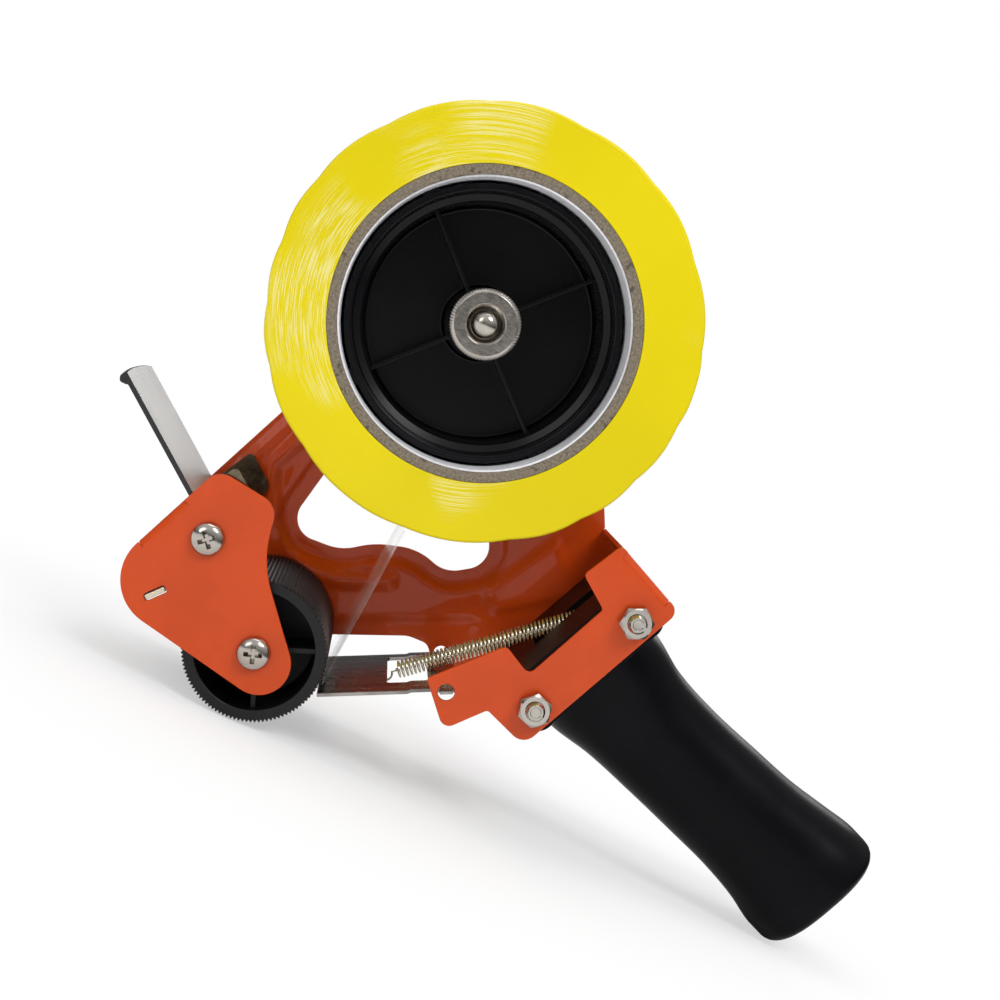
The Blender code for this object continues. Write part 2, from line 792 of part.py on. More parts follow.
def make_screws(name, place):
    """A cross-head screw from each side into the spacer."""
    head = OUTSIDE + FIT + SCREW[2]
    profile = domed(SCREW[1] / 2, SCREW[2], -head)
    profile += [(SCREW[0] / 2, -head + SCREW[2])]
    profile += [(SCREW[0] / 2, -OUTSIDE + SCREW_LENGTH), (0.0, -OUTSIDE + SCREW_LENGTH)]
    for side, sign in (("near", -1), ("far", 1)):
        shape = profile if sign < 0 else mirrored(profile)
        made = turned(f"{name}_{side}", shape, STEEL, place, steps=16)
        cross = bmesh.new()
        long, thick, deep = CROSS
        ends = sorted((sign * (head + 1), sign * (head - deep)))
        add_prism(cross, cross_outline(long, thick, CROSS_ANGLE), *ends)
        boolean(made, cutter(f"{name}_{side}_cross", cross, place))


# Wiper


def flap_point(forward, left=0.0):
    """A point from the pivot along the middle of the flap."""
    return along((0.0, 0.0), WIPER_ANGLE, forward, WIPER_OFFSET + left)


def flap_wall(bm, start, end, left, thickness, half):
    middle = flap_point((start + end) / 2, left)
    add_box(bm, middle, WIPER_ANGLE, end - start, thickness, -half, half)


def rivet_holes(bm):
    for y in (-RIVET_SPAN, 0.0, RIVET_SPAN):
        add_pin_hole(bm, flap_point(RIVET_REACH), WIPER_ANGLE, RIVET[0] + 2 * FIT, y)


def make_wiper():
    half = WIPER_WIDTH / 2 - CHEEK - FIT
    bm = bmesh.new()
    flap_wall(bm, WIPER_ROOT, WIPER_LENGTH, 0.0, WIPER_SHEET, half)
    flap = add_object("wiper_flap", mesh_of(bm, "wiper_flap"), WIPER_BLACK, WIPER_AXIS)
    bead = bmesh.new()
    add_cylinder(bead, flap_point(WIPER_LENGTH - WIPER_BEAD / 2, 0.7), WIPER_BEAD, -half, half, 16)
    boolean(flap, cutter("wiper_bead", bead, WIPER_AXIS), "UNION")
    holes = bmesh.new()
    rivet_holes(holes)
    boolean(flap, cutter("wiper_rivet_holes", holes, WIPER_AXIS))
    make_carrier()
    make_rivets()
    make_spacer("wiper_spacer", WIPER_AXIS, SPACER)
    make_screws("wiper_screw", WIPER_AXIS)


def add_pin_hole(bm, centre, angle, diameter, y, length=12.0):
    """A cylinder square to a sheet that lies at the angle."""
    matrix = (
        Matrix.Translation((centre[0] * MM, y * MM, centre[1] * MM))
        @ Matrix.Rotation(-math.radians(angle), 4, "Y")
    )
    bmesh.ops.create_cone(
        bm,
        cap_ends=True,
        segments=16,
        radius1=diameter / 2 * MM,
        radius2=diameter / 2 * MM,
        depth=length * MM,
        matrix=matrix,
    )


def make_carrier():
    """The steel bracket that carries the flap: two cheeks on the pivot and a web behind the flap."""
    half = WIPER_WIDTH / 2
    peak = Vector(CHEEK_PEAK)
    cheek = [
        (*flap_point(CARRIER_REACH - 1.5, 1.4), 1.0),
        (*flap_point(CARRIER_REACH, -2.8), 1.5),
        (*peak, 1.5),
        (*(peak + Vector((8.5, -6.5))), 2.5),
        (6.2, 2.0, 5.0),
        (2.5, -6.4, 4.0),
        (-5.4, -4.6, 3.5),
    ]
    bm = bmesh.new()
    add_prism(bm, filleted(cheek), -half, -half + CHEEK)
    made = add_object("wiper_carrier", mesh_of(bm, "wiper_carrier"), ZINC, WIPER_AXIS)
    other = bmesh.new()
    add_prism(other, filleted(cheek), half - CHEEK, half)
    boolean(made, cutter("carrier_cheek", other, WIPER_AXIS), "UNION")
    web = bmesh.new()
    flap_wall(web, WIPER_ROOT, CARRIER_REACH - 0.5, carrier_left() + CHEEK / 2, CHEEK, half - 0.2)
    boolean(made, cutter("carrier_web", web, WIPER_AXIS), "UNION")
    holes = bmesh.new()
    add_cylinder(holes, (0, 0), SPACER + 2 * FIT, -half - 1, half + 1)
    rivet_holes(holes)
    boolean(made, cutter("carrier_holes", holes, WIPER_AXIS))


def carrier_left():
    """From the middle of the flap to the back of the carrier's web."""
    return -WIPER_SHEET / 2 - FIT - CHEEK


def make_rivets():
    shank, head, rise = RIVET[0] / 2, RIVET[1] / 2, RIVET[2]
    top = -carrier_left() + FIT
    low = -WIPER_SHEET / 2 - FIT
    under = low - rise * RIVET_FOOT
    profile = [
        (0.0, top + rise),
        (head * 0.6, top + rise * 0.9),
        (head, top + rise * 0.3),
        (head, top),
        (shank, top),
        (shank, low),
        (head, low),
        (head, under),
        (0.0, under),
    ]
    place = flap_point(RIVET_REACH)
    for index, y in enumerate((-RIVET_SPAN, 0.0, RIVET_SPAN), 1):
        bm = bmesh.new()
        points = [bm.verts.new((radius * MM, 0.0, z * MM)) for radius, z in profile]
        for a, b in zip(points, points[1:]):
            bm.edges.new((a, b))
        mesh = bpy.data.meshes.new("wiper_rivet")
        bm.to_mesh(mesh)
        bm.free()
        made = add_object(f"wiper_rivet_{index}", mesh, STEEL, WIPER_AXIS)
        made.location += Vector((place.x * MM, y * MM, place.y * MM))
        made.rotation_euler = (0.0, math.radians(180 - WIPER_ANGLE), 0.0)
        add_turn(made, 14)


# Cutter


def make_cutter():
    width, thick = CARRIER
    half = INSIDE - FIT
    bm = bmesh.new()
    centre = Vector(SLOT_CENTRE)
    add_box(bm, centre, SLOT_ANGLE, width, thick, -half, half)
    made = add_object("blade_carrier", mesh_of(bm, "blade_carrier"), ZINC)
    tabs = bmesh.new()
    add_box(tabs, centre, SLOT_ANGLE, CARRIER_TAB, thick - 0.01, -OUTSIDE - 0.5, OUTSIDE + 0.5)
    boolean(made, cutter("carrier_tabs", tabs), "UNION")
    make_blade(centre)


def make_blade(centre):
    """The saw-toothed strip on the carrier, its teeth towards the front."""
    width, thick = BLADE
    half = INSIDE - BLADE_END_GAP
    pitch = 2 * half / BLADE_TEETH
    left = CARRIER[1] / 2 + FIT
    back = width / 2 - BLADE_SHIFT
    tip = -width / 2 - BLADE_PROUD
    outline = [(back, -half), (back, half)]
    for index in range(BLADE_TEETH):
        edge = half - index * pitch
        outline.append((tip + BLADE_TOOTH, edge))
        outline.append((tip, edge - pitch / 2))
    outline.append((tip + BLADE_TOOTH, -half))
    bm = bmesh.new()
    corners = [bm.verts.new((x * MM, y * MM, left * MM)) for x, y in outline]
    edges = [bm.edges.new((a, b)) for a, b in zip(corners, corners[1:] + corners[:1])]
    face = bmesh.ops.contextual_create(bm, geom=edges)["faces"][0]
    pulled = bmesh.ops.extrude_face_region(bm, geom=[face])["geom"]
    moved = [item for item in pulled if isinstance(item, bmesh.types.BMVert)]
    bmesh.ops.translate(bm, verts=moved, vec=(0.0, 0.0, thick * MM))
    matrix = Matrix.Rotation(-math.radians(SLOT_ANGLE), 4, "Y")
    bmesh.ops.transform(bm, matrix=matrix, verts=bm.verts)
    add_object("cutter_blade", mesh_of(bm, "cutter_blade"), STEEL, centre)


# Tension plate


def make_guide():
    """The plate that presses the tape on the wheel, hung by its tabs in two round holes."""
    half = INSIDE - FIT * 2
    origin = (0.0, 0.0)
    bm = bmesh.new()
    ends = (-GUIDE_TAIL, GUIDE_LENGTH)
    middle = along(origin, GUIDE_ANGLE, sum(ends) / 2)
    add_box(bm, middle, GUIDE_ANGLE, ends[1] - ends[0], GUIDE_SHEET, -half, half)
    made = add_object("tension_plate", mesh_of(bm, "tension_plate"), PLATE_STEEL, GUIDE_AXIS)
    tabs = bmesh.new()
    reach = OUTSIDE + GUIDE_TAB[1]
    add_box(tabs, origin, GUIDE_ANGLE, GUIDE_TAB[0], GUIDE_SHEET - 0.02, -reach, reach)
    boolean(made, cutter("plate_tabs", tabs, GUIDE_AXIS), "UNION")
    (start, end), (near, far) = GUIDE_WINDOW
    holes = bmesh.new()
    middle = along(origin, GUIDE_ANGLE, (start + end) / 2)
    add_box(holes, middle, GUIDE_ANGLE, end - start, GUIDE_SHEET * 4, near, far)
    add_pin_hole(holes, along(origin, GUIDE_ANGLE, hook_reach()), GUIDE_ANGLE, HOOK_HOLE, 0.0, 6.0)
    boolean(made, cutter("plate_holes", holes, GUIDE_AXIS))


def hook_reach():
    """From the pivot to the small hole that takes the hook."""
    return GUIDE_WINDOW[0][1] + 1.0 + HOOK_HOLE / 2


def make_tension_spring():
    diameter, thick = SPRING
    coil = (diameter - thick) / 2
    hook = (SPRING_HOOK - thick) / 2
    edge = (GUIDE_WINDOW[0][1] + hook_reach() - HOOK_HOLE / 2) / 2
    low = along(GUIDE_AXIS, GUIDE_ANGLE, edge)
    bolt = grip_point(BOLT_BACK, BOLT_SPAN[1])
    hook_high = BOLT[0] / 2 + FIT + thick / 2
    span = bolt - low
    angle = math.degrees(math.atan2(span.y, span.x))
    ahead = direction(angle)
    begin = hook + SPRING_LEAD
    stop = span.length - hook_high - SPRING_LEAD
    turns = round((stop - begin) / SPRING_PITCH)
    points = hook_points(0.0, hook, -155.0, 0.0, 10)
    for index in range(turns * COIL_SIDES + 1):
        phase = 2 * math.pi * index / COIL_SIDES
        reach = begin + (stop - begin) * index / (turns * COIL_SIDES)
        points.append((reach, coil * math.sin(phase), coil * math.cos(phase)))
    points += hook_points(span.length, hook_high, 180.0, 350.0, 12)
    placed = []
    for reach, across, up in points:
        flat = ahead * reach + Vector((-ahead.y, ahead.x)) * up
        placed.append((flat.x, across, flat.y))
    wire("tension_spring", placed, thick, SPRING_ZINC, low)


def hook_points(centre, radius, start, end, count):
    """An open loop in the side view round a centre on the spring's axis."""
    points = []
    for index in range(count + 1):
        angle = math.radians(start + (end - start) * index / count)
        points.append((centre + radius * math.cos(angle), 0.0, radius * math.sin(angle)))
    return points


def stand_on_origin():
    """Moves the model so that its box stands on the origin."""
    bpy.context.view_layer.update()
    graph = bpy.context.evaluated_depsgraph_get()
    low = Vector((math.inf,) * 3)
    high = Vector((-math.inf,) * 3)
    for obj in PARTS.objects:
        if obj.type == "EMPTY":
            continue
        shape = obj.evaluated_get(graph)
        mesh = shape.to_mesh()
        for vertex in mesh.vertices:
            place = shape.matrix_world @ vertex.co
            low = Vector(map(min, low, place))
            high = Vector(map(max, high, place))
        shape.to_mesh_clear()
    STAND.location = (-(low.x + high.x) / 2, -(low.y + high.y) / 2, -low.z)
    for obj in CUTTERS.objects:
        obj.parent = STAND


for old in list(bpy.data.objects):
    bpy.data.objects.remove(old, do_unlink=True)

PARTS = collection("tape_dispenser")
CUTTERS = collection("cutters")
STAND = bpy.data.objects.new("stand", None)
PARTS.objects.link(STAND)

ORANGE = material("orange_paint", (0.66, 0.075, 0.015), 0.3)
BLACK_PLASTIC = material("black_plastic", (0.012, 0.012, 0.014), 0.45)
WIPER_BLACK = material("wiper_plastic", (0.02, 0.02, 0.022), 0.25)
STEEL = material("nickel_plated_steel", (0.62, 0.6, 0.56), 0.25, 1.0)
ZINC = material("zinc_plated_steel", (0.55, 0.5, 0.4), 0.35, 1.0)
PLATE_STEEL = material("bare_steel", (0.5, 0.48, 0.46), 0.4, 1.0)
SPRING_ZINC = material("spring_steel", (0.55, 0.5, 0.36), 0.3, 1.0)
CARD = material("cardboard", (0.33, 0.26, 0.18), 0.9)
TAPE = material("tape", (0.78, 0.66, 0.02), 0.3)

make_frame()
make_grip()
make_handle_bolts()
make_hub()
make_roll()
make_axle_and_brake()
make_film()
make_wheel()
make_wiper()
make_cutter()
make_guide()
make_tension_spring()
stand_on_origin()
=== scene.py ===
"""Looks of a hand-held packing tape dispenser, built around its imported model.

A piece is shaped in millimetres from the axis of the tape roll: x towards the grip, z up, and y
across the width with the near side at -Y. piece() puts it in its place, in metres.
"""

import math

import bmesh
import bpy
import numpy as np
from bpy.props import FloatProperty, FloatVectorProperty, PointerProperty
from mathutils import Matrix, Vector


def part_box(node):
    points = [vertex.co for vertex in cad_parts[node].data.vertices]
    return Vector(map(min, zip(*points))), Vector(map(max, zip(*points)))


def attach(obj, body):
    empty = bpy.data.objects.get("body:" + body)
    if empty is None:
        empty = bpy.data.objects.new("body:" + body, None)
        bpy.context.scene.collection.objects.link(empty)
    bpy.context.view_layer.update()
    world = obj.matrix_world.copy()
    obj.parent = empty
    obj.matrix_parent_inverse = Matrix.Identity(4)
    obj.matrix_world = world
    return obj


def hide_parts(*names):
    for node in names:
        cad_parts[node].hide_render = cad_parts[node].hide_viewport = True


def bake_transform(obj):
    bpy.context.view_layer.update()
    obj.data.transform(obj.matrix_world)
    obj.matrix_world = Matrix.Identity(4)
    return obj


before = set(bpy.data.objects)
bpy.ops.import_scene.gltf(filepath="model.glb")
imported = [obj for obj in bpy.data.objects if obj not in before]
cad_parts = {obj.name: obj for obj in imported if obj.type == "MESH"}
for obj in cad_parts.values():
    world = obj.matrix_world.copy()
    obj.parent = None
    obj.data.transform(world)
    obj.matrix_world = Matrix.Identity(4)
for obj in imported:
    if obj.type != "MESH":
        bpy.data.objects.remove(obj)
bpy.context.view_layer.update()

bl_info = {
    "name": "Packing tape dispenser",
    "version": (1, 0, 0),
    "blender": (4, 5, 0),
    "location": "3D View > Sidebar > Dispenser",
    "description": "Builds the pieces of a hand-held packing tape dispenser and their finishes",
    "category": "Add Mesh",
}

MM = 0.001

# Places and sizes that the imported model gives


def middle(node):
    low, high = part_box(node)
    return (low + high) / 2


def reach(node, axis):
    low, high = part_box(node)
    return (high[axis] - low[axis]) / MM


ROLL = middle("tape_winding")


def beside(node):
    """The side view point (x, z) of a node's middle, in millimetres from the roll's axis."""
    place = (middle(node) - ROLL) / MM
    return Vector((place.x, place.z))


def across(node):
    """The near and far ends of a node, in millimetres from the middle of the roll."""
    low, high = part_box(node)
    return (low.y - ROLL.y) / MM, (high.y - ROLL.y) / MM


HUB_CENTRE = Vector((0.0, 0.0))
WHEEL_AXIS = beside("wheel_axle")
WIPER_AXIS = beside("wiper_spacer")
BOLTS = (beside("handle_bolt_lower"), beside("handle_bolt_upper"))
PLATE_AXIS = Vector((30.8, -90.5))
GRIP_ROOT = Vector((65.5, -72.5))
GRIP_ANGLE = -24.3
FRONT_BEND = Vector((-57.2, -87.8))
FRONT_ANGLE = 67.0
FRONT_WEB = (0.0, 16.0)
REAR_WEB = (-21.0, -4.0)
PLATE_ANGLE = 206.4
BLADE_CENTRE = (-47.9, -98.0)
BLADE_ANGLE = 48.6
SPRING_TURNS = 54


# Settings


def length(name, default, description):
    return FloatProperty(
        name=name,
        description=description,
        default=default * MM,
        min=0.0,
        unit="LENGTH",
        precision=5,
    )


def share(name, default, description):
    return FloatProperty(
        name=name, description=description, default=default, min=0.0, max=1.0, subtype="FACTOR"
    )


def tint(name, default, description):
    return FloatVectorProperty(
        name=name,
        description=description,
        default=default,
        size=3,
        min=0.0,
        max=1.0,
        subtype="COLOR",
    )


class DISPENSER_PG_sizes(bpy.types.PropertyGroup):
    """Sizes of the pieces."""

    sheet: length("Sheet", 1.2, "Thickness of the painted sheet steel")
    edge: length("Sheet edge", 0.28, "Rounding of the painted sheet's edges")
    bend: length("Bend", 1.0, "Inner radius of the sheet's bends")
    inside: length("Inside width", 53.0, "Width between the two sides")
    emboss: length("Embossing", 1.3, "Depth of the ribs pressed into the side plate")
    roll: length("Roll", reach("tape_winding", 2), "Diameter of the roll of tape")
    tape: length("Tape width", reach("tape_winding", 1), "Width of the tape")
    lump: length("Roll lumps", 0.95, "How far the outside of the roll dips between its lumps")
    bore: length("Core bore", 76.2, "Inner diameter of the cardboard core")
    core: length("Core wall", 2.8, "Thickness of the cardboard core")
    lining: length("Lining", 0.5, "Thickness of the paper inside the core")
    wheel: length("Wheel", reach("toothed_wheel", 0), "Diameter of the toothed wheel")
    tooth: length("Tooth", 0.8, "Depth of the wheel's teeth")
    spring: length("Spring", 5.0, "Diameter of the tension spring")
    wire: length("Spring wire", 0.62, "Thickness of the tension spring's wire")


class DISPENSER_PG_finishes(bpy.types.PropertyGroup):
    """Colours and finishes of the materials."""

    paint: tint("Paint", (0.62, 0.066, 0.006), "Gloss paint on the sheet steel")
    paint_gloss: share("Paint gloss", 0.35, "Strength of the clear layer on the paint")
    tape: tint("Tape", (0.82, 0.67, 0.004), "Wound tape")
    # Pale colour of painted highlight streaks: the sheen along the wound layers on the side of the
    # roll, painted into the colour.
    tape_streak_highlight: tint("Tape streak highlights", (0.90, 0.85, 0.38), "Painted highlight streaks on the side of the roll")
    card: tint("Cardboard", (0.21, 0.175, 0.13), "Cardboard core")
    paper: tint("Paper", (0.80, 0.80, 0.83), "Paper lining of the core")
    plastic: tint("Black plastic", (0.0030, 0.0030, 0.0040), "Moulded hub, wheel and grip")
    flap: tint("Flap", (0.60, 0.59, 0.62), "Smooth upper face of the wiper flap")
    nickel: tint("Nickel", (0.50, 0.465, 0.42), "Plating of screws, bolts and nuts")
    zinc: tint("Yellow zinc", (0.74, 0.68, 0.52), "Plating of the spring and the small brackets")
    bronze: tint("Bracket", (0.20, 0.17, 0.11), "Dark plating of the wiper's bracket")
    steel: tint("Bare steel", (0.40, 0.37, 0.35), "Tension plate and blade")
    floor: tint("Floor", (0.93, 0.93, 0.935), "Pale floor")


def sizes():
    """The sizes, in millimetres, by name."""
    group = bpy.context.scene.dispenser_sizes
    return {key: getattr(group, key) / MM for key in group.__annotations__}


def finishes():
    return bpy.context.scene.dispenser_finishes


# Side view geometry


def direction(angle):
    return Vector((math.cos(math.radians(angle)), math.sin(math.radians(angle))))


def along(start, angle, forward, left=0.0):
    """The point that lies forward and to the left of start, facing angle."""
    ahead = direction(angle)
    return Vector(start) + ahead * forward + Vector((-ahead.y, ahead.x)) * left


def grip_point(forward, up):
    return along(GRIP_ROOT, GRIP_ANGLE, forward, up)


def front_line(forward, left=0.0):
    return along(FRONT_BEND, FRONT_ANGLE, forward, left)


def rear_line(forward, left=0.0):
    return grip_point(forward, 28.8 + left)


def filleted(corners, chord=0.7):
    """The closed outline of (x, z, radius) corners, each rounded by an arc of short chords."""
    outline = []
    for index, (x, z, radius) in enumerate(corners):
        corner = Vector((x, z))
        after_index = (index + 1) % len(corners)
        before = Vector(corners[index - 1][:2]) - corner
        after = Vector(corners[after_index][:2]) - corner
        if radius <= 0:
            outline.append(corner)
            continue
        opening = before.angle(after)
        room = radius / math.tan(opening / 2)
        for side, neighbour in ((before, index - 1), (after, after_index)):
            room = min(room, side.length * (0.49 if corners[neighbour][2] > 0 else 0.98))
        radius = room * math.tan(opening / 2)
        start = corner + before.normalized() * room
        end = corner + after.normalized() * room
        inward = (before.normalized() + after.normalized()).normalized()
        centre = corner + inward * (radius / math.sin(opening / 2))
        count = max(3, math.ceil(radius * (math.pi - opening) / chord))
        turn = (start - centre).angle_signed(end - centre)
        for number in range(count + 1):
            arm = start - centre
            arm.rotate(Matrix.Rotation(-turn * number / count, 2))
            outline.append(centre + arm)
    return outline


def circle(centre, diameter, count=24):
    return [Vector(centre) + direction(360 * i / count) * diameter / 2 for i in range(count)]


def slot_outline(centre, angle, long, wide):
    """A rounded slot."""
    ends = ((-1, -1), (1, -1), (1, 1), (-1, 1))
    spots = [along(centre, angle, a * long / 2, b * wide / 2) for a, b in ends]
    return filleted([(*spot, wide * 0.4) for spot in spots], 0.3)


# Mesh building


def turn_about(centre):
    """Where a shape that is turned about the side view point lies."""
    return Matrix.Translation((centre[0], 0.0, centre[1]))


def loop_edges(bm, points, y):
    corners = [bm.verts.new((x, y, z)) for x, z in points]
    return [bm.edges.new(pair) for pair in zip(corners, corners[1:] + corners[:1])]


def fill_sheet(bm, loops, y):
    """A flat sheet across the side view, from its outline and the outlines of its holes."""
    edges = [edge for points in loops for edge in loop_edges(bm, points, y)]
    filled = bmesh.ops.triangle_fill(bm, edges=edges, use_beauty=True, use_dissolve=True)
    return [item for item in filled["geom"] if isinstance(item, bmesh.types.BMFace)]


def push(bm, faces, vector):
    """Pulls flat faces along the vector into a solid."""
    pulled = bmesh.ops.extrude_face_region(bm, geom=faces)["geom"]
    moved = [item for item in pulled if isinstance(item, bmesh.types.BMVert)]
    bmesh.ops.translate(bm, verts=moved, vec=vector)


def prism(loops, near, far):
    """A solid across the width, from its outline and the outlines of its holes."""
    bm = bmesh.new()
    push(bm, fill_sheet(bm, loops, near), (0.0, far - near, 0.0))
    return tidy(bm)


def box(centre, angle, long, high, near, far):
    corners = ((-1, -1), (1, -1), (1, 1), (-1, 1))
    outline = [along(centre, angle, a * long / 2, b * high / 2) for a, b in corners]
    return prism([outline], near, far)


def tidy(bm, closed=True):
    bmesh.ops.remove_doubles(bm, verts=bm.verts, dist=0.0005)
    if closed:
        bmesh.ops.recalc_face_normals(bm, faces=bm.faces)
    return bm


def turned(profile, steps, centre=HUB_CENTRE, ring=False):
    """A shape turned about an axis across the width: (radius, y) points."""
    bm = bmesh.new()
    points = [bm.verts.new((radius, y, 0.0)) for radius, y in profile]
    pairs = zip(points, points[1:] + (points[:1] if ring else []))
    geom = points + [bm.edges.new(pair) for pair in pairs]
    bmesh.ops.spin(
        bm,
        geom=geom,
        cent=(0, 0, 0),
        axis=(0, 1, 0),
        angle=math.tau,
        steps=steps,
        use_merge=True,
    )
    tidy(bm)
    bmesh.ops.transform(bm, matrix=turn_about(centre), verts=bm.verts)
    return bm


def toothed(bm, centre, teeth, inside, depth, near=-99.0, far=99.0):
    """Sinks every second line of points outside a radius, so that a turned band gets teeth."""
    for vert in bm.verts:
        arm = Vector((vert.co.x - centre[0], vert.co.z - centre[1]))
        number = round(math.degrees(math.atan2(arm.y, arm.x)) / (180 / teeth))
        if number % 2 and arm.length > inside and near < vert.co.y < far:
            arm *= (arm.length - depth) / arm.length
            vert.co.x, vert.co.z = centre[0] + arm.x, centre[1] + arm.y
    return bm


def rounded(bm, width, segments=2, angle=40.0):
    """Rounds every edge that turns by more than the angle."""
    least = math.radians(angle)
    edges = [e for e in bm.edges if len(e.link_faces) == 2 and e.calc_face_angle() > least]
    bmesh.ops.bevel(
        bm,
        geom=edges,
        offset=width,
        offset_type="OFFSET",
        segments=segments,
        profile=0.5,
        affect="EDGES",
        clamp_overlap=True,
        material=-1,
    )
    return bm


def as_mesh(bm, name="shape"):
    mesh = bpy.data.meshes.new(name)
    bm.to_mesh(mesh)
    bm.free()
    return mesh


def with_modifiers(bm, *steps):
    """The shape after modifiers, each given as (kind, settings)."""
    target = bpy.data.objects.new("shape", as_mesh(bm))
    bpy.context.scene.collection.objects.link(target)
    for kind, settings in steps:
        modifier = target.modifiers.new(kind.lower(), kind)
        for key, value in settings.items():
            setattr(modifier, key, value)
    graph = bpy.context.evaluated_depsgraph_get()
    mesh = bpy.data.meshes.new_from_object(target.evaluated_get(graph))
    made = bmesh.new()
    made.from_mesh(mesh)
    bpy.data.objects.remove(target, do_unlink=True)
    bpy.data.meshes.remove(mesh)
    return made


def combined(bm, *others):
    """The shape joined with or cut by others, each given as (operation, shape)."""
    helpers = []
    steps = []
    for operation, other in others:
        helper = bpy.data.objects.new("helper", as_mesh(other))
        bpy.context.scene.collection.objects.link(helper)
        helpers.append(helper)
        settings = {"operation": operation, "solver": "EXACT", "object": helper}
        steps.append(("BOOLEAN", settings))
    made = with_modifiers(bm, *steps)
    for helper in helpers:
        bpy.data.objects.remove(helper, do_unlink=True)
    return made


def tube(points, diameter, sides=2):
    """A wire through (x, y, z) points."""
    curve = bpy.data.curves.new("wire", "CURVE")
    curve.dimensions = "3D"
    curve.bevel_depth = diameter / 2
    curve.bevel_resolution = sides
    curve.use_fill_caps = True
    spline = curve.splines.new("POLY")
    spline.points.add(len(points) - 1)
    for point, place in zip(spline.points, points):
        point.co = (*place, 1.0)
    helper = bpy.data.objects.new("wire", curve)
    bpy.context.scene.collection.objects.link(helper)
    graph = bpy.context.evaluated_depsgraph_get()
    mesh = bpy.data.meshes.new_from_object(helper.evaluated_get(graph))
    bm = bmesh.new()
    bm.from_mesh(mesh)
    bpy.data.objects.remove(helper, do_unlink=True)
    bpy.data.meshes.remove(mesh)
    return tidy(bm)


def piece(name, bm, materials, body, nodes=(), smooth=38.0, weighted=True):
    """Finishes a shape as a piece that rides on a body and stands for CAD nodes."""
    place = Matrix.Translation(ROLL) @ Matrix.Scale(MM, 4)
    bmesh.ops.transform(bm, matrix=place, verts=bm.verts)
    mesh = as_mesh(bm, name)
    made = bpy.data.objects.new(name, mesh)
    bpy.context.scene.collection.objects.link(made)
    for material in materials if isinstance(materials, (list, tuple)) else [materials]:
        mesh.materials.append(material)
    mesh.shade_smooth()
    mesh.set_sharp_from_angle(angle=math.radians(smooth))
    if weighted:
        normals = made.modifiers.new("normals", "WEIGHTED_NORMAL")
        normals.keep_sharp = True
    if body:
        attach(made, body)
    if nodes:
        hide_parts(*nodes)
    return made


# Materials


def node(tree, kind, settings=None, **inputs):
    """Adds a node. An input is a number, a colour or another node's output."""
    made = tree.nodes.new(kind)
    for key, value in (settings or {}).items():
        setattr(made, key, value)
    set_inputs(tree, made, inputs)
    return made


def set_inputs(tree, made, inputs):
    for key, value in inputs.items():
        socket = made.inputs[int(key[1:]) if key[1:].isdigit() else key.replace("_", " ")]
        if isinstance(value, bpy.types.NodeSocket):
            tree.links.new(value, socket)
        else:
            socket.default_value = value


def calc(tree, operation, *values):
    inputs = {f"i{index}": value for index, value in enumerate(values)}
    return node(tree, "ShaderNodeMath", {"operation": operation}, **inputs).outputs[0]


def vector_calc(tree, operation, **inputs):
    return node(tree, "ShaderNodeVectorMath", {"operation": operation}, **inputs).outputs


def blend_colors(tree, mask, first, second):
    made = node(tree, "ShaderNodeMix", {"data_type": "RGBA"}, i0=mask, i6=first, i7=second)
    return made.outputs[2]


def ramp(tree, value, low, high, to_low=0.0, to_high=1.0):
    made = node(
        tree,
        "ShaderNodeMapRange",
        {"interpolation_type": "SMOOTHSTEP"},
        Value=value,
        From_Min=low,
        From_Max=high,
        To_Min=to_low,
        To_Max=to_high,
    )
    return made.outputs[0]


def noise(tree, vector, scale, detail=3.0, rough=0.5):
    made = node(tree, "ShaderNodeTexNoise", None, Vector=vector, Scale=scale, Detail=detail,
                Roughness=rough)
    return made.outputs["Fac"]


def new_group(name, inputs, outputs):
    """An empty node group with named sockets, given as (name, kind, default)."""
    tree = bpy.data.node_groups.new(name, "ShaderNodeTree")
    for label, kind, default in inputs:
        socket = tree.interface.new_socket(name=label, in_out="INPUT", socket_type=kind)
        if default is not None:
            socket.default_value = default
    for label, kind in outputs:
        tree.interface.new_socket(name=label, in_out="OUTPUT", socket_type=kind)
    return tree, tree.nodes.new("NodeGroupInput").outputs, tree.nodes.new("NodeGroupOutput").inputs


def handling_group():
    """Uneven gloss, fine scratches and specks, as on anything that is handled."""
    tree, given, out = new_group(
        "Handling",
        [
            ("Vector", "NodeSocketVector", None),
            ("Roughness", "NodeSocketFloat", 0.3),
            ("Spread", "NodeSocketFloat", 0.1),
            ("Patch Scale", "NodeSocketFloat", 60.0),
            ("Speck Scale", "NodeSocketFloat", 500.0),
            ("Speck Share", "NodeSocketFloat", 0.1),
        ],
        [("Roughness", "NodeSocketFloat"), ("Specks", "NodeSocketFloat"),
         ("Patches", "NodeSocketFloat")],
    )
    patches = noise(tree, given["Vector"], given["Patch Scale"], 4.0, 0.6)
    level = calc(tree, "MULTIPLY_ADD", calc(tree, "SUBTRACT", patches, 0.5), given["Spread"],
                 given["Roughness"])
    cells = node(tree, "ShaderNodeTexVoronoi", None, Vector=given["Vector"],
                 Scale=given["Speck Scale"])
    size = calc(tree, "MULTIPLY", noise(tree, given["Vector"], given["Patch Scale"], 2.0),
                given["Speck Share"])
    near = calc(tree, "LESS_THAN", cells.outputs["Distance"], size)
    chosen = calc(tree, "GREATER_THAN", node_color_value(tree, cells.outputs["Color"]), 0.8)
    specks = calc(tree, "MULTIPLY", near, chosen)
    tree.links.new(calc(tree, "MULTIPLY_ADD", specks, 0.2, level), out["Roughness"])
    tree.links.new(specks, out["Specks"])
    tree.links.new(patches, out["Patches"])
    return tree


def node_color_value(tree, color):
    return node(tree, "ShaderNodeSeparateColor", None, Color=color).outputs[0]


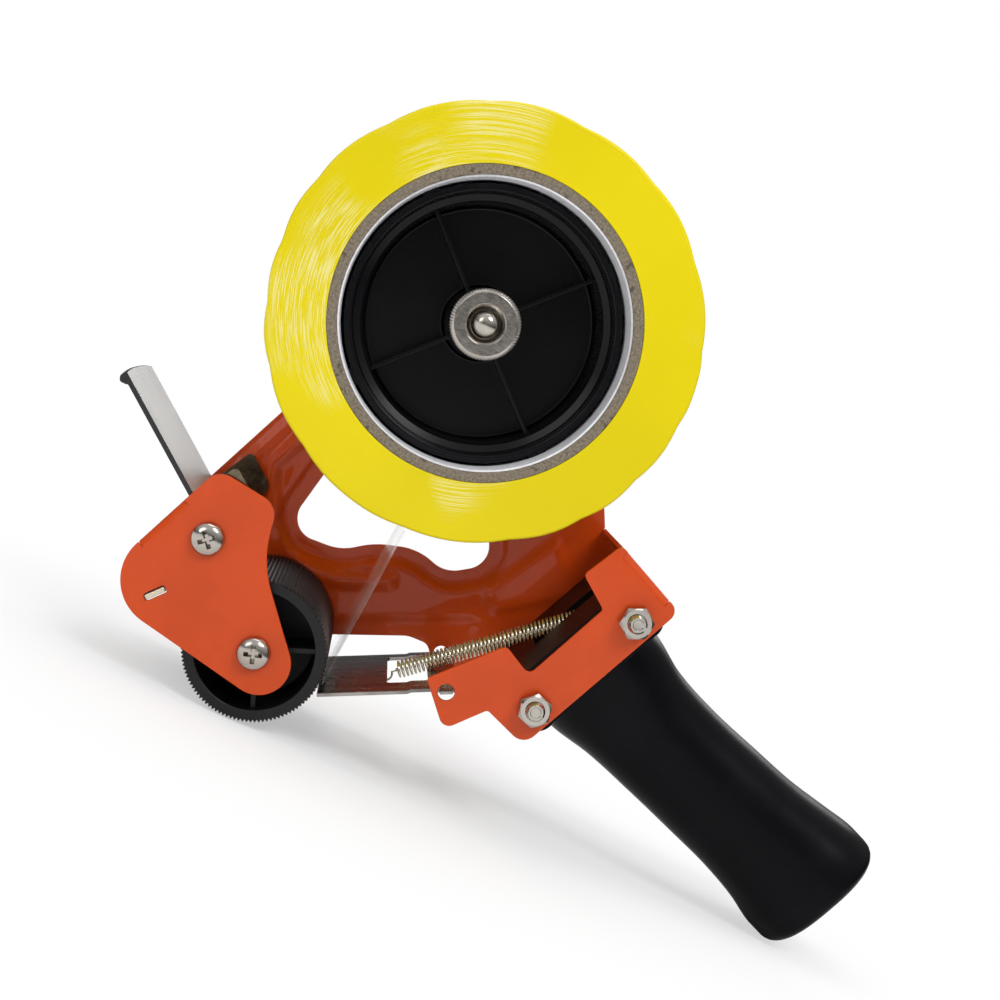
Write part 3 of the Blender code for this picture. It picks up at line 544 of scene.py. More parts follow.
def around_group():
    """Coordinates that follow a turned shape: round the axis, and the radius in millimetres."""
    tree, given, out = new_group(
        "Around",
        [("Vector", "NodeSocketVector", None), ("Axis", "NodeSocketVector", (0.0, 0.0, 0.0))],
        [("Direction", "NodeSocketVector"), ("Radius", "NodeSocketFloat")],
    )
    arm = vector_calc(tree, "SUBTRACT", i0=given["Vector"], i1=given["Axis"])
    parts = node(tree, "ShaderNodeSeparateXYZ", None, Vector=arm[0])
    flat = node(tree, "ShaderNodeCombineXYZ", None, X=parts.outputs[0],
                Z=parts.outputs[2]).outputs[0]
    unit = vector_calc(tree, "NORMALIZE", i0=flat)
    size = vector_calc(tree, "LENGTH", i0=flat)
    tree.links.new(unit[0], out["Direction"])
    tree.links.new(calc(tree, "DIVIDE", size["Value"], MM), out["Radius"])
    return tree


def grain_group():
    """The fine texture of a moulded or pressed surface."""
    tree, given, out = new_group(
        "Grain",
        [
            ("Vector", "NodeSocketVector", None),
            ("Scale", "NodeSocketFloat", 900.0),
            ("Wave Scale", "NodeSocketFloat", 90.0),
            ("Wave", "NodeSocketFloat", 0.3),
        ],
        [("Height", "NodeSocketFloat")],
    )
    fine = noise(tree, given["Vector"], given["Scale"], 2.0)
    wave = noise(tree, given["Vector"], given["Wave Scale"], 1.0)
    tree.links.new(calc(tree, "MULTIPLY_ADD", wave, given["Wave"], fine), out["Height"])
    return tree


def group(tree, name, **inputs):
    made = tree.nodes.new("ShaderNodeGroup")
    made.node_tree = bpy.data.node_groups[name]
    set_inputs(tree, made, inputs)
    return made.outputs


def new_material(name, color, metallic=0.0, roughness=0.4, **inputs):
    """A material with its shader, and the object coordinates that its patterns read."""
    made = bpy.data.materials.new(name)
    made.use_nodes = True
    tree = made.node_tree
    shader = tree.nodes["Principled BSDF"].inputs
    shader["Base Color"].default_value = (*color, 1.0)
    shader["Metallic"].default_value = metallic
    shader["Roughness"].default_value = roughness
    for key, value in inputs.items():
        shader[key.replace("_", " ")].default_value = value
    place = tree.nodes.new("ShaderNodeTexCoord").outputs["Object"]
    return made, tree, shader, place


def add_bump(tree, shader, height, strength, distance):
    bump = node(tree, "ShaderNodeBump", None, Height=height, Strength=strength, Distance=distance)
    tree.links.new(bump.outputs[0], shader["Normal"])


def rgba(color, times=1.0):
    return (*(min(1.0, part * times) for part in color), 1.0)


def paint_material():
    color = finishes().paint
    made, tree, shader, place = new_material(
        "orange gloss paint", color, roughness=0.3,
        Coat_Weight=finishes().paint_gloss, Coat_Roughness=0.04, Specular_IOR_Level=0.15
    )
    worn = group(tree, "Handling", Vector=place, Roughness=0.24, Spread=0.12, Patch_Scale=70.0,
                 Speck_Scale=420.0, Speck_Share=0.03)
    tone = blend_colors(tree, ramp(tree, worn["Patches"], 0.3, 0.7), rgba(color, 0.94),
                        rgba(color, 1.05))
    tone = blend_colors(tree, worn["Specks"], tone, (0.75, 0.20, 0.08, 1.0))
    tree.links.new(tone, shader["Base Color"])
    tree.links.new(worn["Roughness"], shader["Roughness"])
    grain = group(tree, "Grain", Vector=place, Scale=520.0, Wave_Scale=90.0, Wave=1.2)
    add_bump(tree, shader, grain["Height"], 0.10, 0.0004)
    return made


def tape_material():
    color = finishes().tape
    made, tree, shader, place = new_material(
        "wound tape", color, roughness=0.3,
        Coat_Weight=0.12, Coat_Roughness=0.1, Specular_IOR_Level=0.15
    )
    turn = group(tree, "Around", Vector=place, Axis=tuple(ROLL))
    layers = node(tree, "ShaderNodeCombineXYZ", None, X=calc(tree, "MULTIPLY", turn["Radius"], 2.6))
    round_it = vector_calc(tree, "SCALE", i0=turn["Direction"], Scale=5.0)
    spun = vector_calc(tree, "ADD", i0=layers.outputs[0], i1=round_it[0])
    rings = noise(tree, spun[0], 1.0, 3.0, 0.6)
    streaks = ramp(tree, rings, 0.46, 0.60)
    patches = ramp(tree, noise(tree, place, 24.0, 2.0), 0.57, 0.68)
    # Pale streaks along the wound layers, in large blotches, are painted highlights that stand in
    # for the sheen of the layer edges. The roughness is raised there too.
    streak_highlights = calc(tree, "MULTIPLY", streaks, patches)
    slow = ramp(tree, noise(tree, place, 14.0, 2.0), 0.3, 0.7)
    tone = blend_colors(tree, slow, rgba(color, 0.93), rgba(color, 1.03))
    tone = blend_colors(tree, calc(tree, "MULTIPLY", rings, 0.15), tone, rgba(color, 0.86))
    # Lays the painted highlight streaks over the tape's colour.
    tone = blend_colors(tree, calc(tree, "MULTIPLY", streak_highlights, 0.7), tone, rgba(finishes().tape_streak_highlight))
    tree.links.new(tone, shader["Base Color"])
    worn = group(tree, "Handling", Vector=place, Roughness=0.32, Spread=0.2, Patch_Scale=30.0,
                 Speck_Scale=300.0, Speck_Share=0.06)
    tree.links.new(calc(tree, "MULTIPLY_ADD", streak_highlights, 0.2, worn["Roughness"]), shader["Roughness"])
    add_bump(tree, shader, rings, 0.07, 0.0003)
    return made


def card_material():
    color = finishes().card
    made, tree, shader, place = new_material(
        "pressed card", color, roughness=0.9,
        Specular_IOR_Level=0.2
    )
    fibres = noise(tree, place, 1500.0, 4.0, 0.7)
    blots = noise(tree, place, 420.0, 2.0)
    tone = blend_colors(tree, ramp(tree, fibres, 0.35, 0.65), rgba(color, 0.72), rgba(color, 1.35))
    tone = blend_colors(tree, ramp(tree, blots, 0.62, 0.7), tone, rgba(color, 0.55))
    tree.links.new(tone, shader["Base Color"])
    tree.links.new(ramp(tree, blots, 0.0, 1.0, 0.75, 1.0), shader["Roughness"])
    add_bump(tree, shader, fibres, 0.5, 0.0003)
    return made


def paper_material():
    color = finishes().paper
    made, tree, shader, place = new_material("paper", color, roughness=0.6)
    fibres = noise(tree, place, 800.0, 4.0, 0.6)
    tone = blend_colors(tree, ramp(tree, fibres, 0.3, 0.7), rgba(color, 0.9), rgba(color, 1.08))
    tree.links.new(tone, shader["Base Color"])
    tree.links.new(ramp(tree, fibres, 0.0, 1.0, 0.45, 0.75), shader["Roughness"])
    add_bump(tree, shader, fibres, 0.2, 0.0002)
    return made


def plastic_material(name, roughness, fine, depth, coat=0.0, specular=0.5):
    """Black moulded plastic with its grain."""
    color = finishes().plastic
    made, tree, shader, place = new_material(
        name, color, roughness=roughness,
        Coat_Weight=coat, Coat_Roughness=0.2, Specular_IOR_Level=specular
    )
    worn = group(tree, "Handling", Vector=place, Roughness=roughness, Spread=0.18, Patch_Scale=45.0,
                 Speck_Scale=350.0, Speck_Share=0.05)
    tone = blend_colors(tree, ramp(tree, worn["Patches"], 0.35, 0.7), rgba(color), rgba(color, 1.5))
    tone = blend_colors(tree, calc(tree, "MULTIPLY", worn["Specks"], 0.25), tone,
                        (0.16, 0.16, 0.17, 1.0))
    tree.links.new(tone, shader["Base Color"])
    tree.links.new(worn["Roughness"], shader["Roughness"])
    grain = group(tree, "Grain", Vector=place, Scale=fine, Wave_Scale=120.0, Wave=0.4)
    add_bump(tree, shader, grain["Height"], depth, 0.0002)
    return made


def metal_material(name, color, roughness, streak=(1.0, 1.0, 1.0), contrast=0.2, specular=0.5):
    """Plated or bare metal. Its streaks run where the streak scale is small."""
    made, tree, shader, place = new_material(
        name, color, 1.0, roughness,
        Specular_IOR_Level=specular
    )
    stretched = node(tree, "ShaderNodeMapping", None, Vector=place, Scale=streak).outputs[0]
    lines = noise(tree, stretched, 700.0, 4.0, 0.65)
    worn = group(tree, "Handling", Vector=place, Roughness=roughness, Spread=0.25,
                 Patch_Scale=220.0,
                 Speck_Scale=900.0, Speck_Share=0.12)
    darker, lighter = rgba(color, 1.0 - contrast), rgba(color, 1.0 + contrast / 2)
    tone = blend_colors(tree, ramp(tree, lines, 0.3, 0.7), darker, lighter)
    tone = blend_colors(tree, calc(tree, "MULTIPLY", worn["Specks"], 0.5), tone, rgba(color, 0.35))
    tree.links.new(tone, shader["Base Color"])
    rough = calc(tree, "MULTIPLY_ADD", calc(tree, "SUBTRACT", lines, 0.5), 0.2, worn["Roughness"])
    tree.links.new(rough, shader["Roughness"])
    add_bump(tree, shader, lines, 0.12, 0.0002)
    return made


def flap_material():
    color = finishes().flap
    made, tree, shader, place = new_material(
        "wiper flap face", color, 0.35, 0.34,
        Coat_Weight=0.5, Coat_Roughness=0.15
    )
    worn = group(tree, "Handling", Vector=place, Roughness=0.34, Spread=0.15, Patch_Scale=50.0,
                 Speck_Scale=500.0, Speck_Share=0.08)
    tone = blend_colors(tree, ramp(tree, worn["Patches"], 0.3, 0.7), rgba(color, 0.95),
                        rgba(color, 1.03))
    tone = blend_colors(tree, worn["Specks"], tone, rgba(color, 0.8))
    tree.links.new(tone, shader["Base Color"])
    tree.links.new(worn["Roughness"], shader["Roughness"])
    grain = group(tree, "Grain", Vector=place, Scale=1400.0, Wave_Scale=60.0, Wave=1.0)
    add_bump(tree, shader, grain["Height"], 0.05, 0.0002)
    return made


def film_material():
    """The clear stretch of tape."""
    made, tree, shader, place = new_material("clear film", (0.9, 0.9, 0.86), roughness=0.12)
    stretched = node(tree, "ShaderNodeMapping", None, Vector=place,
                     Scale=(1.0, 0.25, 0.25)).outputs[0]
    lines = noise(tree, stretched, 160.0, 3.0)
    tree.links.new(ramp(tree, lines, 0.3, 0.75, 0.10, 0.34), shader["Alpha"])
    tree.links.new(ramp(tree, lines, 0.0, 1.0, 0.05, 0.25), shader["Roughness"])
    tone = blend_colors(tree, lines, (0.70, 0.68, 0.60, 1.0), (0.97, 0.97, 0.95, 1.0))
    tree.links.new(tone, shader["Base Color"])
    add_bump(tree, shader, lines, 0.15, 0.0003)
    return made


def floor_material():
    """A pale floor that fades into the plain background."""
    made, tree, shader, place = new_material("pale floor", finishes().floor, roughness=0.8)
    shader["Specular IOR Level"].default_value = 0.1
    grain = noise(tree, place, 220.0, 3.0)
    tone = blend_colors(tree, grain, rgba(finishes().floor, 0.99), rgba(finishes().floor, 1.01))
    tree.links.new(tone, shader["Base Color"])
    add_bump(tree, shader, grain, 0.02, 0.0005)
    flat = vector_calc(tree, "MULTIPLY", i0=place, i1=(0.55, 1.0, 1.0))
    far = vector_calc(tree, "LENGTH", i0=flat[0])["Value"]
    glow = node(tree, "ShaderNodeEmission", None, Color=(1.0, 1.0, 1.0, 1.0), Strength=1.0)
    seen = tree.nodes.new("ShaderNodeLightPath").outputs["Is Camera Ray"]
    fade = calc(tree, "MULTIPLY", ramp(tree, far, 0.0, 0.13, 0.35, 1.0), seen)
    surface = tree.nodes["Principled BSDF"].outputs[0]
    mixed = node(tree, "ShaderNodeMixShader", None, i0=fade, i1=surface, i2=glow.outputs[0])
    tree.links.new(mixed.outputs[0], tree.nodes["Material Output"].inputs["Surface"])
    return made


def make_materials():
    handling_group()
    around_group()
    grain_group()
    paint_material()
    tape_material()
    card_material()
    paper_material()
    plastic_material("black hub plastic", 0.22, 900.0, 0.03, 0.0, 0.2)
    plastic_material("black wheel rubber", 0.45, 700.0, 0.15, 0.0, 0.4)
    plastic_material("black grip plastic", 0.34, 1300.0, 0.14, 0.0, 0.08)
    plastic_material("black flap edge", 0.28, 900.0, 0.05, 0.3)
    metal_material("nickel plate", finishes().nickel, 0.16, contrast=0.08)
    metal_material("yellow zinc", finishes().zinc, 0.26, contrast=0.1)
    metal_material("dark bracket plate", finishes().bronze, 0.24, contrast=0.15)
    metal_material("bare steel", finishes().steel, 0.24, (0.05, 1.0, 0.05), 0.6)
    metal_material("blade steel", rgba(finishes().steel, 1.5)[:3], 0.28, (1.0, 0.1, 1.0), 0.3)
    flap_material()
    film_material()
    floor_material()


def finish(name):
    return bpy.data.materials[name]


# Frame


def front_step():
    return web_step(front_line, *FRONT_WEB)


def rear_step():
    return web_step(rear_line, *REAR_WEB)


def bend_depth():
    size = sizes()
    return size["sheet"] + size["bend"]


def web_step(line, start, end):
    """The corners of an edge that is set back where a bend begins."""
    depth = -bend_depth()
    spots = (line(start), line(start, depth), line(end, depth), line(end))
    return [(*spot, 0.0) for spot in spots]


def ear_outline():
    return filleted([
        (*front_line(-16.5), 12.9),
        *front_step(),
        (*front_line(27.8), 5.2),
        (-29.1, -64.4, 5.2),
        (-26.0, -79.7, 45.0),
        (5.3, -116.3, 9.3),
    ])


def foot_corners():
    """The corners round the grip bolts that the bracket and the side plate share."""
    return [
        *rear_step(),
        (*rear_line(-0.3), 3.0),
        (*grip_point(-0.3, -24.8), 4.0),
        (42.6, -90.4, 1.0),
        (34.2, -99.8, 2.6),
    ]


def bracket_outline():
    return filleted([
        (24.6, -89.3, 1.0),
        (39.9, -73.0, 1.8),
        (48.4, -77.4, 1.8),
        (58.7, -53.9, 1.0),
        (50.2, -47.7, 1.5),
        (*rear_line(-23.4), 1.6),
        *foot_corners(),
    ])


def side_outline():
    return filleted([
        (*front_line(-16.5), 12.9),
        *front_step(),
        (*front_line(88.0), 60.0),
        (-14.5, 19.0, 14.0),
        (17.0, 19.0, 17.0),
        (24.5, -19.0, 26.0),
        (54.0, -29.5, 6.0),
        *foot_corners(),
        (26.0, -89.6, 3.0),
        (20.0, -89.8, 8.0),
        (-8.0, -102.0, 4.0),
        (-9.0, -113.6, 8.5),
    ])


def window_outline():
    return filleted([
        (-25.0, -76.5, 9.5),
        (-19.5, -48.0, 40.0),
        (-4.0, -25.0, 9.0),
        (10.0, -27.0, 9.0),
        (33.5, -61.0, 14.0),
        (22.0, -68.8, 9.0),
        (12.0, -65.8, 25.0),
        (0.0, -69.5, 25.0),
        (-8.0, -75.4, 14.0),
    ])


def add_web(bm, start, end):
    """A web and its two bends, on the middle of the sheet."""
    size = sizes()
    radius = size["bend"] + size["sheet"] / 2
    side = size["inside"] / 2 + size["sheet"] / 2
    ends = [bm.verts.new((spot.x, -side, spot.y)) for spot in (start, end)]
    strip = [*ends, bm.edges.new(ends)]
    ahead = (end - start).normalized()
    axis = Vector((ahead.x, 0.0, ahead.y))
    for y in (radius - side, side - radius):
        centre = (start.x, y, start.y)
        quarter = {"cent": centre, "axis": axis, "angle": math.radians(-90), "steps": 7}
        strip = bmesh.ops.spin(bm, geom=strip, **quarter)["geom_last"]
        if y < 0:
            edges = [item for item in strip if isinstance(item, bmesh.types.BMEdge)]
            strip = bmesh.ops.extrude_edge_only(bm, edges=edges)["geom"]
            strip = [item for item in strip if not isinstance(item, bmesh.types.BMFace)]
            moved = [item for item in strip if isinstance(item, bmesh.types.BMVert)]
            bmesh.ops.translate(bm, verts=moved, vec=(0.0, -2 * y, 0.0))


def cut_grid(bm, low, high, step, least_y):
    """Cuts the faces beyond least_y along lines a step apart, so that they can be pressed."""
    for axis in (0, 2):
        normal = Vector((axis == 0, 0, axis == 2))
        faces = [f for f in bm.faces if f.calc_center_median().y > least_y]
        place = low[axis] + step
        while place < high[axis]:
            geom = list({part for f in faces for part in (f, *f.edges, *f.verts)})
            spot = normal * place
            cut = bmesh.ops.bisect_plane(bm, geom=geom, dist=1e-5, plane_co=spot, plane_no=normal)
            made = [item for item in cut["geom"] if isinstance(item, bmesh.types.BMFace)]
            faces = [f for f in made if max(v.co[axis] for v in f.verts) > place + 1e-4]
            place += step


def path_distance(points, path, closed=False):
    """How far each point is from a path."""
    nearest = np.full(len(points), 1e9)
    path = [np.array(spot[:2], float) for spot in path]
    for a, b in zip(path, path[1:] + (path[:1] if closed else [])):
        side = b - a
        share = np.clip((points - a) @ side / max(side @ side, 1e-9), 0.0, 1.0)
        nearest = np.minimum(nearest, np.hypot(*(points - a - share[:, None] * side).T))
    return nearest


def step_up(values, low, high):
    t = np.clip((values - low) / (high - low), 0.0, 1.0)
    return t * t * (3 - 2 * t)


def pressed_depth(points):
    """How far the side plate is pressed outwards at each point, in shares of the embossing."""
    x, z = points.T
    lip = 1.0 - step_up(path_distance(points, window_outline(), True), 3.8, 5.8)
    ridge = [(-31.0, -49.0), (-35.6, -60.5), (-34.0, -66.0), (-27.5, -76.0), (-21.5, -82.0),
             (-14.0, -84.4)]
    ridge += [(-6.0, -83.6), (1.5, -80.6), (8.5, -77.4)]
    bead = 1.0 - step_up(path_distance(points, ridge), 0.7, 2.6)
    flange_line = [(-1.9, -94.4), (33.8, -77.8), (44.0, -76.0)]
    below = np.interp(x, [p[0] for p in flange_line], [p[1] for p in flange_line]) - z
    flange = step_up(below, -0.6, 0.9) * step_up(x, -6.0, 0.0) * (1 - step_up(x, 34.0, 39.0))
    ahead = direction(48.0)
    forward = (x - 36.5) * ahead.x + (z + 71.5) * ahead.y
    aside = np.abs((z + 71.5) * ahead.x - (x - 36.5) * ahead.y)
    wedge = step_up(forward, -1.0, 2.0) * (1 - step_up(forward, 24.0, 28.0))
    wedge *= 1 - step_up(aside, 2.2 + forward * 0.22, 4.2 + forward * 0.22)
    start, top = front_line(17.0), front_line(88.0)
    edge = path_distance(points, [start, top])
    climb = (points - np.array(start)) @ np.array(direction(FRONT_ANGLE))
    roll = (1.0 - step_up(edge, 1.0, 4.0)) * step_up(climb, 2.0, 12.0)
    trough = (1.0 - step_up(np.abs(edge - 9.5), 0.8, 2.8)) * step_up(climb, 14.0, 22.0)
    arms = step_up(z, -62.0, -50.0)
    pressed = lip - 0.75 * bead * (1 - lip) + 0.7 * flange - 0.8 * wedge + 0.9 * roll
    return pressed - 0.5 * trough * arms


def frame_shape():
    size = sizes()
    side = size["inside"] / 2 + size["sheet"] / 2
    bm = bmesh.new()
    screws = [circle(WHEEL_AXIS, 4.6), circle(WIPER_AXIS, 4.6)]
    bolts = [circle(spot, 5.6) for spot in BOLTS]
    pin = circle(PLATE_AXIS, 4.4)
    slot = slot_outline(BLADE_CENTRE, BLADE_ANGLE, 6.1, 2.0)
    fill_sheet(bm, [ear_outline(), *screws, slot], -side)
    fill_sheet(bm, [bracket_outline(), *bolts, pin], -side)
    holes = [*screws, slot, *bolts, pin, circle(HUB_CENTRE, 7.1), window_outline()]
    fill_sheet(bm, [side_outline(), *holes], side)
    depth = -bend_depth()
    add_web(bm, *(front_line(end, depth) for end in FRONT_WEB))
    add_web(bm, *(rear_line(end, depth) for end in REAR_WEB))
    bmesh.ops.remove_doubles(bm, verts=bm.verts, dist=0.005)
    bmesh.ops.recalc_face_normals(bm, faces=bm.faces)
    wall = {"thickness": size["sheet"], "offset": 0.0, "use_even_offset": True}
    bm = with_modifiers(bm, ("SOLIDIFY", wall))
    rounded(bm, size["edge"], 2, 60.0)
    low, high = (-100.0, 0.0, -120.0), (80.0, 0.0, 20.0)
    cut_grid(bm, low, high, 1.1, side - size["sheet"] / 2 - 0.01)
    verts = [v for v in bm.verts if v.co.y > side - size["sheet"] / 2 - 0.01]
    points = np.array([(v.co.x, v.co.z) for v in verts])
    for vert, depth in zip(verts, pressed_depth(points) * size["emboss"]):
        vert.co.y += float(depth)
    return bm


class DISPENSER_OT_frame(bpy.types.Operator):
    """Folded and pressed sheet steel frame"""

    bl_idname = "dispenser.frame"
    bl_label = "Frame"

    def execute(self, context):
        piece("painted_frame", frame_shape(), finish("orange gloss paint"), "root",
              ["frame"])
        return {"FINISHED"}


# Roll and core


def roll_shape():
    """The wound tape, a little lumpy where it was wound over creases."""
    size = sizes()
    outer, half = size["roll"] / 2, size["tape"] / 2
    inner = size["bore"] / 2 + size["core"] + 0.02
    profile = filleted([(inner, -half, 0.2), (outer, -half, 0.9), (outer, half, 0.9),
                        (inner, half, 0.2)], 0.35)
    bm = turned(profile, 240, ring=True)
    for vert in bm.verts:
        turn = math.atan2(vert.co.z, vert.co.x)
        arm = math.hypot(vert.co.x, vert.co.z)
        share = max(0.0, (arm - inner) / (outer - inner)) ** 2
        drift = 0.9 * math.sin(2 * turn) + 0.5 * math.sin(3 * turn + 2.0)
        wave = 0.6 * abs(math.sin(8 * turn + drift))
        wave += 0.2 * math.sin(3 * turn + 1.0) + 0.12 * math.sin(7 * turn + 0.4)
        dip = size["lump"] * share * min(1.0, max(0.0, 0.7 - wave))
        vert.co.x *= (arm - dip) / arm
        vert.co.z *= (arm - dip) / arm
        if vert.co.y < 0:
            vert.co.y += 0.25 * share * (0.5 + 0.5 * math.sin(2 * turn + 2.2))
    return bm


class DISPENSER_OT_roll(bpy.types.Operator):
    """Roll of tape, its cardboard core and the core's paper lining"""

    bl_idname = "dispenser.roll"
    bl_label = "Roll"

    def execute(self, context):
        size = sizes()
        piece("wound_tape", roll_shape(), finish("wound tape"), "hub", ["tape_winding"])
        half, inner = size["tape"] / 2, size["bore"] / 2
        outer = inner + size["core"]
        ends = [(inner, -half + 0.15, 0.3), (outer, -half + 0.15, 0.3), (outer, half, 0.3),
                (inner, half, 0.3)]
        core = turned(filleted(ends, 0.2), 160, ring=True)
        piece("card_core", core, finish("pressed card"), "hub", ["tape_core"])
        wall = size["lining"]
        paper = turned([(inner - wall, -half + 0.5), (inner - 0.02, -half + 0.35),
                        (inner - 0.02, half - 0.3),
                        (inner - wall, half - 0.3)], 160, ring=True)
        for vert in paper.verts:
            if vert.co.y < 0:
                vert.co.y += 0.35 * math.sin(3 * math.atan2(vert.co.z, vert.co.x) + 0.7) + 0.3
        piece("paper_lining", paper, finish("paper"), "hub")
        return {"FINISHED"}


# Hub and brake

HUB_NEAR = -12.0
HUB_WEB = (15.0, 17.0)
HUB_BOSS = 9.0
HUB_RIB_ANGLES = (46.0, 136.5, 227.0, 317.5)


def hub_shape():
    rim = 36.8
    inner = rim - 2.2
    flange = 41.6
    profile = filleted([
        (rim, HUB_NEAR, 0.7),
        (rim, 24.3, 0.3),
        (flange, 24.3, 0.4),
        (flange, 25.8, 0.4),
        (inner, 25.8, 0.3),
        (inner, HUB_WEB[1], 0.6),
        (HUB_BOSS, HUB_WEB[1], 0.4),
        (HUB_BOSS, 21.3, 0.4),
        (3.55, 21.3, 0.2),
        (3.55, -1.0, 0.2),
        (HUB_BOSS, -1.0, 0.6),
        (HUB_BOSS + 1.2, HUB_WEB[0], 0.8),
        (inner - 2.6, HUB_WEB[0], 1.0),
        (inner - 2.2, HUB_NEAR + 9.0, 0.5),
        (inner, HUB_NEAR + 8.2, 0.4),
        (inner, HUB_NEAR, 0.5),
    ], 0.4)
    parts = []
    for angle in HUB_RIB_ANGLES:
        start, end = HUB_BOSS - 1.0, inner - 1.0
        spot = direction(angle) * (start + end) / 2
        rib = rounded(box(spot, angle, end - start, 1.1, 3.0, HUB_WEB[0] + 0.5), 0.2)
        parts.append(("UNION", rib))
        spot = direction(angle) * (rim + 0.1)
        tab = rounded(box(spot, angle, 1.6, 5.0, HUB_NEAR + 1.0, HUB_NEAR + 13.0), 0.35)
        parts.append(("UNION", tab))
    return combined(turned(profile, 144, ring=True), *parts)


def brake_nut_shape():
    near, far = across("brake_nut")
    outer = reach("brake_nut", 0) / 2
    profile = filleted([
        (outer, near + 0.9, 0.2),
        (outer, far - 0.6, 0.2),
        (outer - 0.8, far, 0.1),
        (3.6, far, 0.1),
        (3.6, near + 2.6, 0.2),
        (4.4, near + 1.4, 0.2),
        (4.9, near + 0.35, 0.15),
        (5.4, near + 0.05, 0.1),
        (outer - 1.25, near + 0.05, 0.3),
    ], 0.25)
    return toothed(turned(profile, 144, ring=True), HUB_CENTRE, 72, outer - 0.35, 0.42)


def axle_shape():
    near, far = across("hub_axle")
    head = reach("hub_axle", 0) / 2
    radius = 3.25
    start = near
    profile = [(0.0, start), (1.5, start + 0.16), (2.5, start + 0.62), (3.0, start + 1.15),
               (3.15, start + 1.8)]
    place = start + 2.3
    while place < near + 12.0:
        profile += [(radius, place), (radius - 0.3, place + 0.5)]
        place += 1.0
    profile += [(radius, place), (radius, far - 3.6)]
    cap = [(head - 0.15, far - 3.6), (head, far - 3.4), (head, far - 2.4), (head * 0.93, far - 1.2)]
    cap += [(head * 0.75, far - 0.45), (head * 0.4, far - 0.08), (0.0, far)]
    return turned(profile + cap, 64)


def washer_shape(node_name):
    near, far = across(node_name)
    outer = reach(node_name, 0) / 2
    ends = [(3.6, near, 0.1), (outer, near, 0.3), (outer, far, 0.3), (3.6, far, 0.1)]
    return turned(filleted(ends, 0.15), 64, ring=True)


def brake_spring_shape():
    near, far = across("brake_spring")
    thick, turns = 1.2, 5
    coil = reach("brake_spring", 0) / 2 - thick / 2
    points = []
    for index in range(turns * 36 + 1):
        angle = math.tau * index / 36
        share = index / (turns * 36)
        eased = share + 0.05 * math.sin(math.tau * share)
        points.append((coil * math.cos(angle), near + thick / 2 + (far - near - thick) * eased,
                       coil * math.sin(angle)))
    return tube(points, thick, 3)


class DISPENSER_OT_hub(bpy.types.Operator):
    """Moulded hub with the axle, washers, spring and knurled nut of its brake"""

    bl_idname = "dispenser.hub"
    bl_label = "Hub and brake"

    def execute(self, context):
        nickel = finish("nickel plate")
        piece("moulded_hub", hub_shape(), finish("black hub plastic"), "hub",
              ["tape_hub"])
        piece("knurled_nut", brake_nut_shape(), nickel, "brake_nut", ["brake_nut"],
              24.0)
        piece("axle_bolt", axle_shape(), nickel, "root", ["hub_axle"], 50.0)
        for node_name, body in (("hub_washer", "root"), ("brake_washer", "brake_washer")):
            piece(node_name + "_disc", washer_shape(node_name), nickel, body,
                  [node_name])
        coil = piece("brake_coil", brake_spring_shape(), finish("yellow zinc"), None,
                     ["brake_spring"], 60.0, False)
        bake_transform(coil)
        jam = hex_nut_shape("hub_axle_nut", HUB_CENTRE, 10.0, 6.9, 0.0)
        piece("axle_jam_nut", jam, nickel, "root", ["hub_axle_nut"], 30.0)
        return {"FINISHED"}


# Screws, bolts and nuts


def hex_nut_shape(node_name, centre, flats, bore, angle, both=True):
    """A hexagon nut whose corners are turned off at its ends."""
    near, far = across(node_name)
    corner = flats / 2 / math.cos(math.radians(30))
    outline = [Vector(centre) + direction(angle + 60 * i) * corner for i in range(6)]
    bm = prism([outline, circle(centre, bore, 40)], near, far)
    flat = flats / 2 - 0.25
    lens = [(0.0, near - 0.01), (flat, near - 0.01), (corner + 0.1, near + 1.05)]
    lens += [(corner + 0.1, far - 1.05),
             (flat, far + 0.01)] if both else [(corner + 0.1, far + 0.01)]
    lens += [(0.0, far + 0.01)]
    return combined(bm, ("INTERSECT", turned(lens, 72, centre)))


def bolt_shape(node_name, centre):
    """A handle bolt: chamfered threaded end at the near side, domed head at the far side."""
    near, far = across(node_name)
    head = reach(node_name, 0) / 2
    radius, tall = 2.5, 3.2
    profile = [(0.0, near + 0.25), (1.3, near + 0.2), (1.5, near), (1.95, near),
               (2.35, near + 0.55)]
    place = near + 0.9
    while place < near + 5.0:
        profile += [(radius, place), (radius - 0.25, place + 0.4)]
        place += 0.8
    profile += [(radius, place), (radius, far - tall)]
    profile += [(head - 0.1, far - tall), (head, far - tall + 0.2), (head * 0.98, far - 1.9)]
    profile += [(head * 0.86, far - 0.9), (head * 0.62, far - 0.3), (head * 0.3, far - 0.04),
                (0.0, far)]
    return turned(profile, 48, centre)


def cross_outline(centre, long, thick, angle):
    quarter = [(long / 2, -thick / 2), (long / 2, thick / 2), (thick / 2, thick / 2)]
    return [along(centre, angle + 90 * turn, a, b) for turn in range(4) for a, b in quarter]


